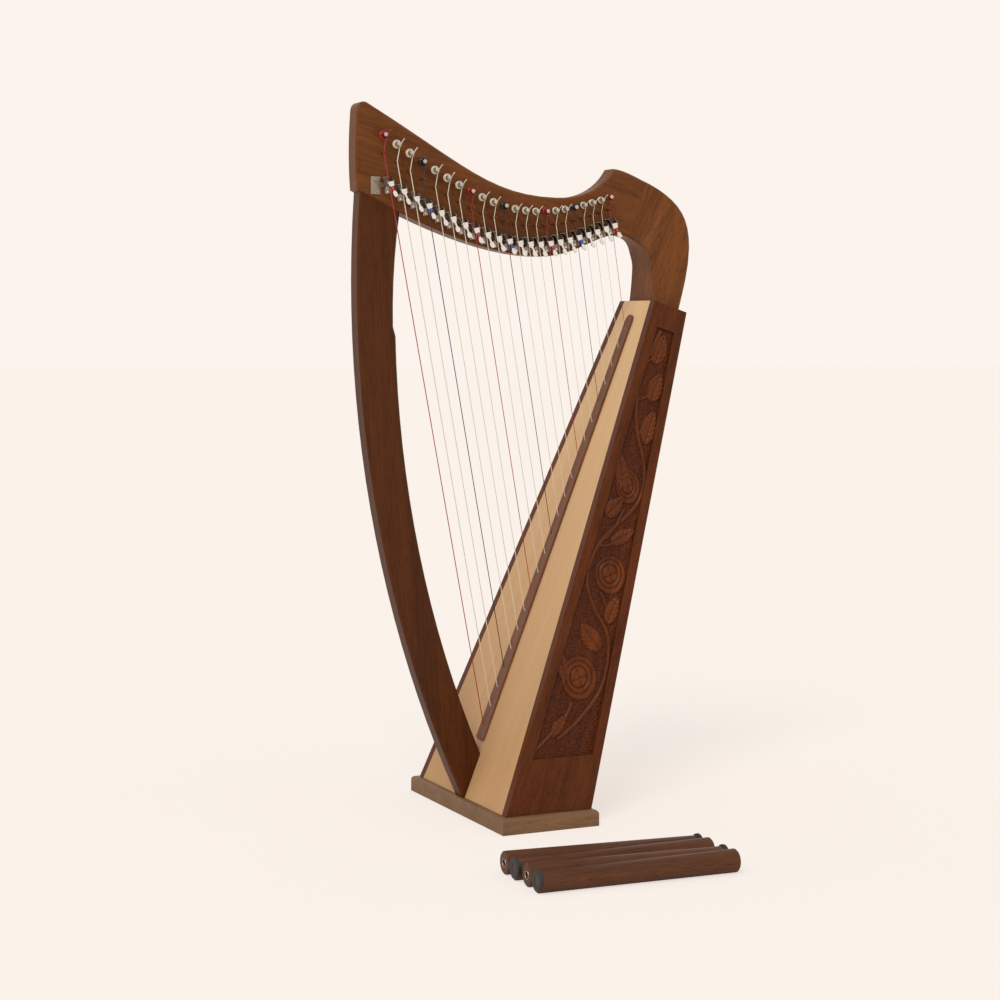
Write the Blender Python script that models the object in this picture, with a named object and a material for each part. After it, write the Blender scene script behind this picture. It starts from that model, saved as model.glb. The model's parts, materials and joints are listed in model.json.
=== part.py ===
"""Small lever harp with 22 strings, built as separate pieces at real size.

Metres, +Z up. The origin is the middle of the base plate's underside. The strings hang close to the XZ plane: the
pillar is at -X, the back of the soundbox at +X, and the pins, strings and levers are on the neck's -Y side. A point
(x, z) below is a place in a side view, and a tuple of four such points is a cubic curve.
"""

import math

import bmesh
import bpy
from mathutils import Matrix, Vector

# Clearances
FIT_GAP = 0.0003
RUNNING_GAP = 0.0001

# Base plate and the sockets that the legs screw into
BASE_DEPTH = 0.136
BASE_WIDTH = 0.292
BASE_THICK = 0.0206
BASE_ROUND = 0.005
BASE_ROUND_STEPS = 3
SOCKET_RADIUS = 0.004
SOCKET_DEPTH = 0.014
SOCKET_INSET = 0.022

# Soundbox
BOARD_SETBACK = 0.0085
BOARD_LENGTH = 0.699
BOARD_LEAN = math.radians(21.54)
BOARD_THICK = 0.004
BOX_FOOT_DEPTH = 0.1215
BOX_FOOT_WIDTH = 0.272
BOX_HEAD_DEPTH = 0.0498
BOX_HEAD_WIDTH = 0.0954
BOX_HEAD_SLOPE = math.radians(18.0)
PANEL_THICK = 0.012
BACK_THICK = 0.004
TOP_BLOCK_HEIGHT = 0.028
FIELD_DEPTH = 0.0028
FIELD_FRONT_MARGIN = 0.0135
FIELD_BACK_MARGIN = 0.013
FIELD_TOP_MARGIN = 0.034
FIELD_FOOT_HEIGHT = 0.068
SOUND_HOLES = ((0.135, 0.032), (0.300, 0.027), (0.450, 0.021))

# String strip
STRIP_THICK = 0.0030
STRIP_FOOT = 0.079
STRIP_HEAD = 0.678
STRIP_FOOT_WIDTH = 0.0215
STRIP_HEAD_WIDTH = 0.0165

# Strings, counted from the longest
STRING_COUNT = 22
FIRST_STRING = 0.0980
STRING_PITCH = 0.0267
BASS_STRING_RADIUS = 0.00070
TREBLE_STRING_RADIUS = 0.00035
STRING_HOLE_RADIUS = 0.0013
STRING_BEND_HEIGHT = 0.0011
STRING_OFFSET = 0.0132
KNOT_RAIL_WIDTH = 0.016
KNOT_RAIL_THICK = 0.005
KNOT_RAIL_MARGIN = 0.010

# Neck and shoulder, as offsets from the front edge of the soundbox's head
NECK_THICK = 0.027
NECK_CHAMFER = 0.0022
NECK_FRONT = ((-0.4085, 0.1335), (-0.4112, 0.165), (-0.4108, 0.200), (-0.4084, 0.2325))
NECK_TIP = ((-0.4084, 0.2325), (-0.4077, 0.2412), (-0.4010, 0.2452), (-0.3941, 0.2414))
NECK_TOP = ((-0.3941, 0.2414), (-0.2616, 0.1709), (-0.2241, 0.1324), (-0.1291, 0.1324))
NECK_RISE = ((-0.1291, 0.1324), (-0.0911, 0.1324), (-0.0621, 0.1445), (-0.0456, 0.1727))
NECK_CREST = ((-0.0456, 0.1727), (-0.0291, 0.1722), (-0.0111, 0.1632), (0.0031, 0.1576))
NECK_UNDER_BASS = ((-0.4085, 0.1335), (-0.3271, 0.0932), (-0.2311, 0.0558), (-0.1531, 0.0558))
NECK_UNDER_TREBLE = ((-0.1531, 0.0558), (-0.1021, 0.0552), (-0.0691, 0.0865), (-0.0371, 0.0865))
ARCH_CENTRE = (-0.0371, 0.0435)
ARCH_RADIUS = 0.043
JOINT_ANGLE = math.radians(65.6)
SHOULDER_BACK = ((0.0031, 0.1576), (0.0370, 0.1448), (0.0641, 0.1160), (0.0641, 0.0758))
SHOULDER_HEEL = ((0.0641, 0.0758), (0.0641, 0.0452), (0.0545, 0.0180))
SHOULDER_FOOT_WIDTH = 0.071
SHOULDER_WAIST_WIDTH = 0.055
SHOULDER_FRONT_MARGIN = 0.0065
SHOULDER_BACK_MARGIN = 0.0038
SHOULDER_SECTIONS = 14

# Pillar
PILLAR_THICK = 0.024
PILLAR_CHAMFER = 0.0022
PILLAR_SETBACK = 0.0045
PILLAR_HEAD_WIDTH = 0.054
PILLAR_TOE = 0.0026
PILLAR_SEAT = 0.062
PILLAR_FRONT_BOW = 0.0504
PILLAR_BACK_BOW = 0.0271
PILLAR_HEAD_BOW = 0.003
SPLICE_DROP = 0.155
SPLICE_STEP = 0.0035
SPLICE_LENGTH = 0.012
SPLICE_WIDTH = 0.0512

# Tuning pins and bridge pins
PIN_LINE = ((-0.3766, 0.2018), (-0.2216, 0.1088), (-0.1812, 0.0934), (-0.0562, 0.1346))
PIN_SPACING = 0.0180
PIN_SPACING_LOSS = 0.000274
PIN_RADIUS = 0.0027
PIN_TIP = 0.0170
COIL_OFFSET = 0.0100
PIN_TAIL = 0.0060
PIN_SQUARE_LENGTH = 0.011
PIN_SQUARE_RADIUS = 0.0029
PIN_TIP_CHAMFER = 0.0006
PIN_SIDES = 8
BRIDGE_STEP = 0.0008
BRIDGE_DROP = 0.0223
BRIDGE_DROP_LOSS = 0.0003
BRIDGE_RADIUS = 0.0014
BRIDGE_LENGTH = 0.0160
BRIDGE_ROOT = 0.004

# Sharping levers: "down" runs along the string from the bracket's top, "out" is away from the neck's face
BRACKET_LEAD = 0.0120
BRACKET_LEAD_GAIN = 0.0176
BRACKET_WIDTH = 0.0096
BRACKET_HEIGHT = 0.0210
BRACKET_PLATE = 0.0010
EAR_THICK = 0.0009
EAR_OUTLINE = ((0.0004, 0.0118), (0.0044, 0.0172), (0.0088, 0.0182), (0.0112, 0.0166),
               (0.0126, 0.0062), (0.0146, 0.0042), (0.0204, 0.0032))
PIVOT_DOWN = 0.0084
PIVOT_OUT = 0.0162
AXLE_RADIUS = 0.0009
AXLE_SIDES = 6
BARREL_RADIUS = 0.0021
BARREL_SIDES = 8
HANDLE_THICK = 0.0014
HANDLE_OUTLINE = ((0.0, 0.0035), (0.0038, 0.0035), (0.0070, 0.0012), (0.0125, 0.0011), (0.0145, 0.0026),
                  (0.0190, 0.0027), (0.0208, 0.0015))
HANDLE_REST_ANGLE = math.radians(60.0)
RAIL_WIDTH = 0.005
RAIL_THICK = 0.0005
RAIL_DOWN = 0.010
SPARE_PLATE_STEP = (-0.0125, -0.0110)
SPARE_PLATE_WIDTH = 0.0130
SPARE_PLATE_HEIGHT = 0.0220

# Detached legs, lying on the floor beside the harp: place of the screw end, and the heading of the foot from it
LEG_LENGTH = 0.2555
LEG_RADIUS = 0.0140
LEG_FOOT_RADIUS = 0.01225
LEG_END_ROUND = 0.0015
LEG_HOLE_RADIUS = 0.004
LEG_HOLE_DEPTH = 0.016
LEG_SIDES = 20
LEG_PLACES = ((-0.1483, -0.3153, -2.9), (0.1060, -0.3555, 177.3), (-0.1489, -0.3760, -2.6), (0.1045, -0.4155, 177.6))

CURVE_STEPS = 12

# Places worked out from the sizes above, all in the side view
BASE_FRONT = -BASE_DEPTH / 2
BOARD_FOOT = Vector((BASE_FRONT + BOARD_SETBACK, BASE_THICK))
BOARD_UP = Vector((math.sin(BOARD_LEAN), math.cos(BOARD_LEAN)))
BOARD_OUT = Vector((-math.cos(BOARD_LEAN), math.sin(BOARD_LEAN)))
BOX_HEAD = BOARD_FOOT + BOARD_LENGTH * BOARD_UP
HEAD_BACKWARD = Vector((math.cos(BOX_HEAD_SLOPE), -math.sin(BOX_HEAD_SLOPE)))
BOX_HEAD_BACK = BOX_HEAD + BOX_HEAD_DEPTH * HEAD_BACKWARD
BACK_FOOT = BOARD_FOOT + Vector((BOX_FOOT_DEPTH, 0.0))
BACK_UP = (BOX_HEAD_BACK - BACK_FOOT).normalized()
BACK_IN = Vector((-BACK_UP.y, BACK_UP.x))
SIDE_TAPER = (BOX_FOOT_WIDTH - BOX_HEAD_WIDTH) / 2 / (BOX_HEAD.y - BASE_THICK)
PANEL_ACROSS = PANEL_THICK * math.sqrt(1 + SIDE_TAPER ** 2)
NECK_FACE = NECK_THICK / 2

WALNUT = (0.105, 0.040, 0.018)
DARK_WALNUT = (0.070, 0.026, 0.012)
SPRUCE = (0.60, 0.40, 0.22)
NICKEL = (0.72, 0.70, 0.66)
GUT = (0.75, 0.66, 0.50)


def clear_scene():
    """Remove whatever the file starts with."""
    for item in list(bpy.data.objects):
        bpy.data.objects.remove(item, do_unlink=True)


def finish_with(item, colour, roughness, metallic=0.0):
    """Give an object its own plain material."""
    material = bpy.data.materials.new(item.name)
    material.use_nodes = True
    shader = material.node_tree.nodes["Principled BSDF"]
    shader.inputs["Base Color"].default_value = (*colour, 1.0)
    shader.inputs["Roughness"].default_value = roughness
    shader.inputs["Metallic"].default_value = metallic
    item.data.materials.clear()
    item.data.materials.append(material)


def add_piece(name, bm, parent=None):
    """Turn a bmesh into an object, its faces pointing out."""
    bmesh.ops.recalc_face_normals(bm, faces=bm.faces)
    mesh = bpy.data.meshes.new(name)
    bm.to_mesh(mesh)
    bm.free()
    item = bpy.data.objects.new(name, mesh)
    bpy.context.scene.collection.objects.link(item)
    if parent is not None:
        item.parent = parent
    return item


def add_tool(name, bm):
    """A hidden solid that cuts or joins another."""
    tool = add_piece(name, bm)
    tool.hide_render = True
    tool.display_type = "WIRE"
    return tool


def combine(item, tool, operation):
    """Cut an object with a tool, or join the two."""
    modifier = item.modifiers.new(f"{operation.lower()} {tool.name}", "BOOLEAN")
    modifier.operation = operation
    modifier.object = tool


def shade_round(item, degrees=40.0):
    """Smooth shading with sharp edges where the faces turn."""
    item.data.shade_smooth()
    item.data.set_sharp_from_angle(angle=math.radians(degrees))


def curve_point(curve, t):
    """A point on a cubic curve."""
    a, b, c, d = (Vector(point) for point in curve)
    s = 1.0 - t
    return s ** 3 * a + 3 * s * s * t * b + 3 * s * t * t * c + t ** 3 * d


def curve_points(curve, steps=CURVE_STEPS):
    """Points along a cubic curve, without its last one."""
    return [curve_point(curve, step / steps) for step in range(steps)]


def curve_height(curve, x):
    """Height of a curve whose x only grows, at a given x."""
    low, high = 0.0, 1.0
    for _ in range(50):
        middle = (low + high) / 2
        if curve_point(curve, middle).x < x:
            low = middle
        else:
            high = middle
    return curve_point(curve, (low + high) / 2).y


def bowed_points(start, end, bow, steps):
    """Points on the arc from start to end that swells by bow to its left."""
    start, end = Vector(start), Vector(end)
    chord = end - start
    half = chord.length / 2
    radius = (half * half + bow * bow) / (2 * bow)
    side = Vector((-chord.y, chord.x)).normalized()
    centre = (start + end) / 2 - (radius - bow) * side
    sweep = math.asin(half / radius)
    first = math.atan2(side.y, side.x) + sweep
    return [centre + radius * Vector((math.cos(first - 2 * sweep * step / steps),
                                      math.sin(first - 2 * sweep * step / steps))) for step in range(steps + 1)]


def arc_point(centre, radius, angle):
    """A point on a circle in the side view."""
    return Vector(centre) + radius * Vector((math.cos(angle), math.sin(angle)))


def half_width(z):
    """Half the soundbox's outer width at a height."""
    return BOX_FOOT_WIDTH / 2 - SIDE_TAPER * (z - BASE_THICK)


def board_point(along, out=0.0):
    """A place on the soundboard's middle line, in the side view."""
    return BOARD_FOOT + along * BOARD_UP + out * BOARD_OUT


def meet(start, direction, other, other_direction):
    """Where two lines of the side view cross."""
    gap = other - start
    cross = direction.x * other_direction.y - direction.y * other_direction.x
    return start + direction * ((gap.x * other_direction.y - gap.y * other_direction.x) / cross)


def slab(outline, low_side, high_side):
    """A solid with one outline in the side view, between two side surfaces y = f(z)."""
    bm = bmesh.new()
    low = [bm.verts.new((point.x, low_side(point.y), point.y)) for point in outline]
    high = [bm.verts.new((point.x, high_side(point.y), point.y)) for point in outline]
    bm.faces.new(low)
    bm.faces.new(reversed(high))
    for here, there in zip(range(len(outline)), [*range(1, len(outline)), 0]):
        bm.faces.new((low[here], low[there], high[there], high[here]))
    bmesh.ops.recalc_face_normals(bm, faces=bm.faces)
    return bm


def plank(outline, thick, chamfer, keep):
    """A board of even thickness about y = 0, its long edges chamfered except where keep(point) holds."""
    bm = slab(outline, lambda z: -thick / 2, lambda z: thick / 2)
    rim = [edge for edge in bm.edges
           if abs(edge.verts[0].co.y - edge.verts[1].co.y) < thick / 2
           and not all(keep(Vector((vert.co.x, vert.co.z))) for vert in edge.verts)]
    bmesh.ops.bevel(bm, geom=rim, offset=chamfer, segments=1, affect="EDGES", clamp_overlap=True)
    return bm


def ring(bm, centre, across, up, radii):
    """A closed ring of vertices around a centre, one for each radius."""
    count = len(radii)
    return [bm.verts.new(centre + radius * (math.cos(math.tau * (k + 0.5) / count) * across
                                            + math.sin(math.tau * (k + 0.5) / count) * up))
            for k, radius in enumerate(radii)]


def skin(bm, rings):
    """Join rings into a closed body with flat ends."""
    for near, far in zip(rings, rings[1:]):
        for k in range(len(near)):
            after = (k + 1) % len(near)
            bm.faces.new((near[k], near[after], far[after], far[k]))
    bm.faces.new(reversed(rings[0]))
    bm.faces.new(rings[-1])


def rod(bm, start, end, radius, sides):
    """A closed straight rod between two points."""
    axis = (end - start).normalized()
    across = axis.orthogonal().normalized()
    up = axis.cross(across)
    skin(bm, [ring(bm, point, across, up, [radius] * sides) for point in (start, end)])


def flat_radius(radius, sides):
    """Corner radius of a polygon whose flats stand at a radius."""
    return radius / math.cos(math.pi / sides)


def tuning_pin_place(index):
    """Middle of a tuning pin in the side view, in the offsets of the neck."""
    x = PIN_LINE[0][0] + PIN_SPACING * index - PIN_SPACING_LOSS * index * (index - 1) / 2
    return BOX_HEAD + Vector((x, curve_height(PIN_LINE, x)))


def bridge_pin_place(index):
    """Middle of a bridge pin in the side view."""
    return tuning_pin_place(index) + Vector((BRIDGE_STEP, BRIDGE_DROP_LOSS * index - BRIDGE_DROP))


def string_radius(index):
    """Strings get thinner towards the treble."""
    return BASS_STRING_RADIUS + (TREBLE_STRING_RADIUS - BASS_STRING_RADIUS) * index / (STRING_COUNT - 1)


def string_points(index):
    """A string from its tuning pin over the bridge pin to the strip, and through the soundboard to its knot."""
    radius = string_radius(index)
    pin = tuning_pin_place(index)
    bridge = bridge_pin_place(index)
    along = FIRST_STRING + STRING_PITCH * index
    bend = board_point(along, STRIP_THICK + STRING_BEND_HEIGHT)
    knot = board_point(along, -BOARD_THICK - FIT_GAP - KNOT_RAIL_THICK / 2)
    pin_side = PIN_RADIUS + FIT_GAP + radius
    bridge_side = BRIDGE_RADIUS + FIT_GAP + radius
    return [Vector((pin.x + pin_side, -NECK_FACE - COIL_OFFSET, pin.y)),
            Vector((bridge.x - bridge_side, -NECK_FACE - STRING_OFFSET, bridge.y)),
            Vector((bend.x, 0.0, bend.y)),
            Vector((knot.x, 0.0, knot.y))]


def lever_frame(index):
    """Top of a lever's bracket on the neck's face, with the directions across, down and out."""
    points = string_points(index)
    run = points[2] - points[1]
    down = Vector((run.x, 0.0, run.z)).normalized()
    out = Vector((0.0, -1.0, 0.0))
    across = down.cross(out).normalized()
    lead = BRACKET_LEAD + BRACKET_LEAD_GAIN * ((STRING_COUNT - 1 - index) / (STRING_COUNT - 1)) ** 2
    top = Vector((points[1].x, -NECK_FACE, points[1].z)) + lead * down
    return top, across, down, out


def flat_panel(bm, centre, across, down, out, outline, thick):
    """A flat closed piece: outline points (down, across) about a centre, thickness along out."""
    loops = []
    for level in (-thick / 2, thick / 2):
        loops.append([bm.verts.new(centre + a * down + b * across + level * out) for a, b in outline])
    skin(bm, loops)


def make_base():
    """The base plate, rounded over along its top, with four leg sockets in its underside."""
    bm = bmesh.new()
    bmesh.ops.create_cube(bm, size=1.0)
    bmesh.ops.scale(bm, vec=(BASE_DEPTH, BASE_WIDTH, BASE_THICK), verts=bm.verts)
    bmesh.ops.translate(bm, vec=(0.0, 0.0, BASE_THICK / 2), verts=bm.verts)
    middle = BASE_THICK / 2
    top_edges = [edge for edge in bm.edges if all(vert.co.z > middle for vert in edge.verts)]
    bmesh.ops.bevel(bm, geom=top_edges, offset=BASE_ROUND, segments=BASE_ROUND_STEPS, profile=0.5, affect="EDGES")
    base = add_piece("base_plate", bm)
    cutter = bmesh.new()
    for x in (-BASE_DEPTH / 2 + SOCKET_INSET, BASE_DEPTH / 2 - SOCKET_INSET):
        for y in (-BASE_WIDTH / 2 + SOCKET_INSET, BASE_WIDTH / 2 - SOCKET_INSET):
            rod(cutter, Vector((x, y, -SOCKET_DEPTH)), Vector((x, y, SOCKET_DEPTH)), SOCKET_RADIUS, 12)
    combine(base, add_tool("cut.sockets", cutter), "DIFFERENCE")
    finish_with(base, WALNUT, 0.5)


def make_side_panel(name, side):
    """A side of the soundbox, with the shallow field that the carving stands in."""
    floor = BASE_THICK + FIT_GAP
    front_foot = meet(BOARD_FOOT, BOARD_UP, Vector((0.0, floor)), Vector((1.0, 0.0)))
    back_foot = meet(BACK_FOOT, BACK_UP, Vector((0.0, floor)), Vector((1.0, 0.0)))
    outline = [front_foot, back_foot, BOX_HEAD_BACK, BOX_HEAD]
    panel = add_piece(name, slab(outline, lambda z: side * (half_width(z) - PANEL_ACROSS),
                                 lambda z: side * half_width(z)))
    front_line = BOARD_FOOT - FIELD_FRONT_MARGIN * BOARD_OUT
    back_line = BACK_FOOT + FIELD_BACK_MARGIN * BACK_IN
    top_line = BOX_HEAD - Vector((0.0, FIELD_TOP_MARGIN))
    foot_line = Vector((0.0, BASE_THICK + FIELD_FOOT_HEIGHT))
    level = Vector((1.0, 0.0))
    field = [meet(front_line, BOARD_UP, foot_line, level), meet(back_line, BACK_UP, foot_line, level),
             meet(back_line, BACK_UP, top_line, HEAD_BACKWARD), meet(front_line, BOARD_UP, top_line, HEAD_BACKWARD)]
    cutter = slab(field, lambda z: side * (half_width(z) - FIELD_DEPTH), lambda z: side * (half_width(z) + FIELD_DEPTH))
    combine(panel, add_tool(f"cut.{name}", cutter), "DIFFERENCE")
    finish_with(panel, DARK_WALNUT, 0.45)


def inner_side(side):
    """Side surface just inside a side panel."""
    return lambda z: side * (half_width(z) - PANEL_ACROSS - FIT_GAP)


def string_holes(low, high):
    """Cutters for the string holes, square to the soundboard."""
    bm = bmesh.new()
    for index in range(STRING_COUNT):
        along = FIRST_STRING + STRING_PITCH * index
        start, end = board_point(along, low), board_point(along, high)
        rod(bm, Vector((start.x, 0.0, start.y)), Vector((end.x, 0.0, end.y)), STRING_HOLE_RADIUS, 6)
    return bm


def make_soundboard():
    """The pale board between the side panels, pierced for the strings."""
    floor = Vector((0.0, BASE_THICK + FIT_GAP))
    level = Vector((1.0, 0.0))
    rear = BOARD_FOOT - BOARD_THICK * BOARD_OUT
    outline = [meet(BOARD_FOOT, BOARD_UP, floor, level), meet(rear, BOARD_UP, floor, level),
               meet(rear, BOARD_UP, BOX_HEAD, HEAD_BACKWARD), BOX_HEAD]
    board = add_piece("soundboard", slab(outline, inner_side(-1), inner_side(1)))
    holes = string_holes(-2 * BOARD_THICK, BOARD_THICK)
    combine(board, add_tool("cut.soundboard", holes), "DIFFERENCE")
    finish_with(board, SPRUCE, 0.45)


def make_back_panel():
    """The thin back between the side panels, with three sound holes."""
    floor = Vector((0.0, BASE_THICK + FIT_GAP))
    level = Vector((1.0, 0.0))
    inner = BACK_FOOT + BACK_THICK * BACK_IN
    outline = [meet(inner, BACK_UP, floor, level), meet(BACK_FOOT, BACK_UP, floor, level),
               BOX_HEAD_BACK, meet(inner, BACK_UP, BOX_HEAD, HEAD_BACKWARD)]
    panel = add_piece("back_panel", slab(outline, inner_side(-1), inner_side(1)))
    cutter = bmesh.new()
    for along, radius in SOUND_HOLES:
        middle = BACK_FOOT + along * BACK_UP
        start, end = middle - 2 * BACK_THICK * BACK_IN, middle + 3 * BACK_THICK * BACK_IN
        rod(cutter, Vector((start.x, 0.0, start.y)), Vector((end.x, 0.0, end.y)), radius, 24)
    combine(panel, add_tool("cut.back_panel", cutter), "DIFFERENCE")
    finish_with(panel, SPRUCE, 0.5)


def make_top_block():
    """The block that closes the soundbox's head and carries the shoulder."""
    front = BOARD_FOOT - (BOARD_THICK + FIT_GAP) * BOARD_OUT
    back = BACK_FOOT + (BACK_THICK + FIT_GAP) * BACK_IN
    below = BOX_HEAD - TOP_BLOCK_HEIGHT * BOARD_UP
    outline = [meet(front, BOARD_UP, below, HEAD_BACKWARD), meet(back, BACK_UP, below, HEAD_BACKWARD),
               meet(back, BACK_UP, BOX_HEAD, HEAD_BACKWARD), meet(front, BOARD_UP, BOX_HEAD, HEAD_BACKWARD)]
    block = add_piece("top_block", slab(outline, inner_side(-1), inner_side(1)))
    finish_with(block, WALNUT, 0.5)


def make_string_strip():
    """The dark strip on the soundboard that the strings come out of, round at its head."""
    bm = bmesh.new()
    half_foot, half_head = STRIP_FOOT_WIDTH / 2, STRIP_HEAD_WIDTH / 2
    outline = [(STRIP_FOOT, -half_foot), (STRIP_FOOT, half_foot)]
    steps = 8
    for step in range(steps + 1):
        angle = math.pi * step / steps
        outline.append((STRIP_HEAD - half_head + half_head * math.sin(angle), half_head * math.cos(angle)))
    up = Vector((BOARD_UP.x, 0.0, BOARD_UP.y))
    out = Vector((BOARD_OUT.x, 0.0, BOARD_OUT.y))
    low = board_point(0.0, FIT_GAP + STRIP_THICK / 2)
    flat_panel(bm, Vector((low.x, 0.0, low.y)), Vector((0.0, 1.0, 0.0)), up, out, outline, STRIP_THICK)
    strip = add_piece("string_strip", bm)
    combine(strip, add_tool("cut.strip", string_holes(-BOARD_THICK, 3 * STRIP_THICK)), "DIFFERENCE")
    finish_with(strip, WALNUT, 0.5)


def neck_outline():
    """The neck's side view, down to its glued joint with the shoulder."""
    outline = []
    for curve in (NECK_FRONT, NECK_TIP, NECK_TOP, NECK_RISE, NECK_CREST):
        outline += curve_points(curve)
    joint_top = Vector(NECK_CREST[-1])
    joint_foot = arc_point(ARCH_CENTRE, ARCH_RADIUS, JOINT_ANGLE)
    outline += [joint_top, joint_foot]
    crown = math.pi / 2
    for step in range(1, 4):
        outline.append(arc_point(ARCH_CENTRE, ARCH_RADIUS, JOINT_ANGLE + (crown - JOINT_ANGLE) * step / 3))
    for curve in (NECK_UNDER_TREBLE, NECK_UNDER_BASS):
        outline += [curve_point(curve, 1 - step / CURVE_STEPS) for step in range(1, CURVE_STEPS + 1)]
    outline.pop()
    return [BOX_HEAD + point for point in outline]


def on_joint(point):
    """Whether a place of the side view lies on the glued joint of neck and shoulder."""
    top = BOX_HEAD + Vector(NECK_CREST[-1])
    foot = BOX_HEAD + arc_point(ARCH_CENTRE, ARCH_RADIUS, JOINT_ANGLE)
    run = (foot - top).normalized()
    offset = point - top
    return abs(run.x * offset.y - run.y * offset.x) < FIT_GAP


def make_neck():
    """The harmonic curve: bored for the tuning pins, with the bridge pins set in its face."""
    neck = add_piece("neck", plank(neck_outline(), NECK_THICK, NECK_CHAMFER, on_joint))
    bores = bmesh.new()
    pins = bmesh.new()
    for index in range(STRING_COUNT):
        place = tuning_pin_place(index)
        bore = flat_radius(PIN_RADIUS + RUNNING_GAP, PIN_SIDES)
        rod(bores, Vector((place.x, -NECK_THICK, place.y)), Vector((place.x, NECK_THICK, place.y)), bore, PIN_SIDES)
        place = bridge_pin_place(index)
        rod(pins, Vector((place.x, -NECK_FACE - BRIDGE_LENGTH, place.y)),
            Vector((place.x, -NECK_FACE + BRIDGE_ROOT, place.y)), BRIDGE_RADIUS, 6)
    combine(neck, add_tool("cut.neck", bores), "DIFFERENCE")
    combine(neck, add_tool("join.bridge_pins", pins), "UNION")
    finish_with(neck, WALNUT, 0.45)


def shoulder_half_width(share):
    """Half the shoulder's width, from the neck's thickness over its waist to the wide foot."""
    neck, waist, foot = NECK_THICK / 2, SHOULDER_WAIST_WIDTH / 2, SHOULDER_FOOT_WIDTH / 2
    turn = min(share / 0.5, 1.0)
    swell = turn * turn * (3 - 2 * turn)
    flare = max(share - 0.6, 0.0) / 0.4
    return neck + (waist - neck) * swell + (foot - waist) * flare * flare


def make_shoulder():
    """The block that turns from the neck down onto the soundbox, widening on its way."""
    front_foot = BOX_HEAD + SHOULDER_FRONT_MARGIN * HEAD_BACKWARD
    back_foot = BOX_HEAD_BACK - SHOULDER_BACK_MARGIN * HEAD_BACKWARD
    lift = Vector((0.0, FIT_GAP / math.cos(BOX_HEAD_SLOPE)))
    heel = (*SHOULDER_HEEL, tuple(back_foot - BOX_HEAD))
    joint_gap = Vector((FIT_GAP, 0.0))
    arc_end = 0.7
    bm = bmesh.new()
    rings = []
    for section in range(SHOULDER_SECTIONS + 1):
        share = section / SHOULDER_SECTIONS
        if share < arc_end:
            inner = BOX_HEAD + arc_point(ARCH_CENTRE, ARCH_RADIUS, JOINT_ANGLE * (1 - share / arc_end))
            outer = BOX_HEAD + curve_point(SHOULDER_BACK, share / arc_end)
        else:
            rest = (share - arc_end) / (1 - arc_end)
            inner = (BOX_HEAD + arc_point(ARCH_CENTRE, ARCH_RADIUS, 0.0)).lerp(front_foot, rest)
            outer = BOX_HEAD + curve_point(heel, rest)
        shift = joint_gap if section == 0 else lift if section == SHOULDER_SECTIONS else Vector((0.0, 0.0))
        inner, outer = inner + shift, outer + shift
        half = shoulder_half_width(share)
        cut = min(NECK_CHAMFER, half / 3) * (outer - inner).normalized()
        low, high = half - NECK_CHAMFER, half
        corners = [(inner, -low), (inner + cut, -high), (outer - cut, -high), (outer, -low),
                   (outer, low), (outer - cut, high), (inner + cut, high), (inner, low)]
        rings.append([bm.verts.new((point.x, y, point.y)) for point, y in corners])
    skin(bm, rings)
    shoulder = add_piece("shoulder_block", bm)
    finish_with(shoulder, WALNUT, 0.45)


def neck_underside(x):
    """Height of the neck's lower edge above a place, near the pillar."""
    return BOX_HEAD.y + curve_height(NECK_UNDER_BASS, x - BOX_HEAD.x)


def pillar_outline():
    """The pillar's side view: bowed forward, cut along the neck, the soundboard and the base."""
    neck_front = BOX_HEAD.x + NECK_FRONT[0][0]
    head_front_x = neck_front + PILLAR_SETBACK
    head_back_x = head_front_x + PILLAR_HEAD_WIDTH
    floor = BASE_THICK + FIT_GAP
    board_gap = board_point(0.0, FIT_GAP)
    board_foot = meet(board_gap, BOARD_UP, Vector((0.0, floor)), Vector((1.0, 0.0)))
    toe = board_foot - Vector((PILLAR_TOE, 0.0))
    head_front = Vector((head_front_x, neck_underside(head_front_x) - FIT_GAP))
    head_back = Vector((head_back_x, neck_underside(head_back_x) - FIT_GAP))
    front = bowed_points(toe, head_front, PILLAR_FRONT_BOW, 22)
    splice_height = head_back.y - SPLICE_DROP
    splice_x = min(front, key=lambda point: abs(point.y - splice_height)).x + SPLICE_WIDTH
    splice = Vector((splice_x, splice_height))
    step = splice + Vector((-SPLICE_STEP, SPLICE_LENGTH))
    seat = board_gap + PILLAR_SEAT * BOARD_UP
    head = [point - Vector((0.0, FIT_GAP)) for point in
            (Vector((x, neck_underside(x))) for x in
             (head_front_x + PILLAR_HEAD_WIDTH * k / 6 for k in range(1, 6)))]
    back_head = bowed_points(step, head_back, PILLAR_HEAD_BOW, 5)
    back = bowed_points(seat, splice, PILLAR_BACK_BOW, 16)
    return front + head + back_head[::-1] + back[::-1] + [board_foot]


def on_pillar_end(point):
    """Whether a place of the side view lies on the pillar's cut ends."""
    board_side = abs((point - board_point(0.0, FIT_GAP)).dot(BOARD_OUT)) < FIT_GAP
    base_side = point.y < BASE_THICK + 2 * FIT_GAP
    head_side = point.x < BOX_HEAD.x and point.y > neck_underside(point.x) - 2 * FIT_GAP
    return board_side or base_side or head_side


def make_pillar():
    """The curved front pillar."""
    pillar = add_piece("pillar", plank(pillar_outline(), PILLAR_THICK, PILLAR_CHAMFER, on_pillar_end))
    finish_with(pillar, DARK_WALNUT, 0.4)


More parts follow.
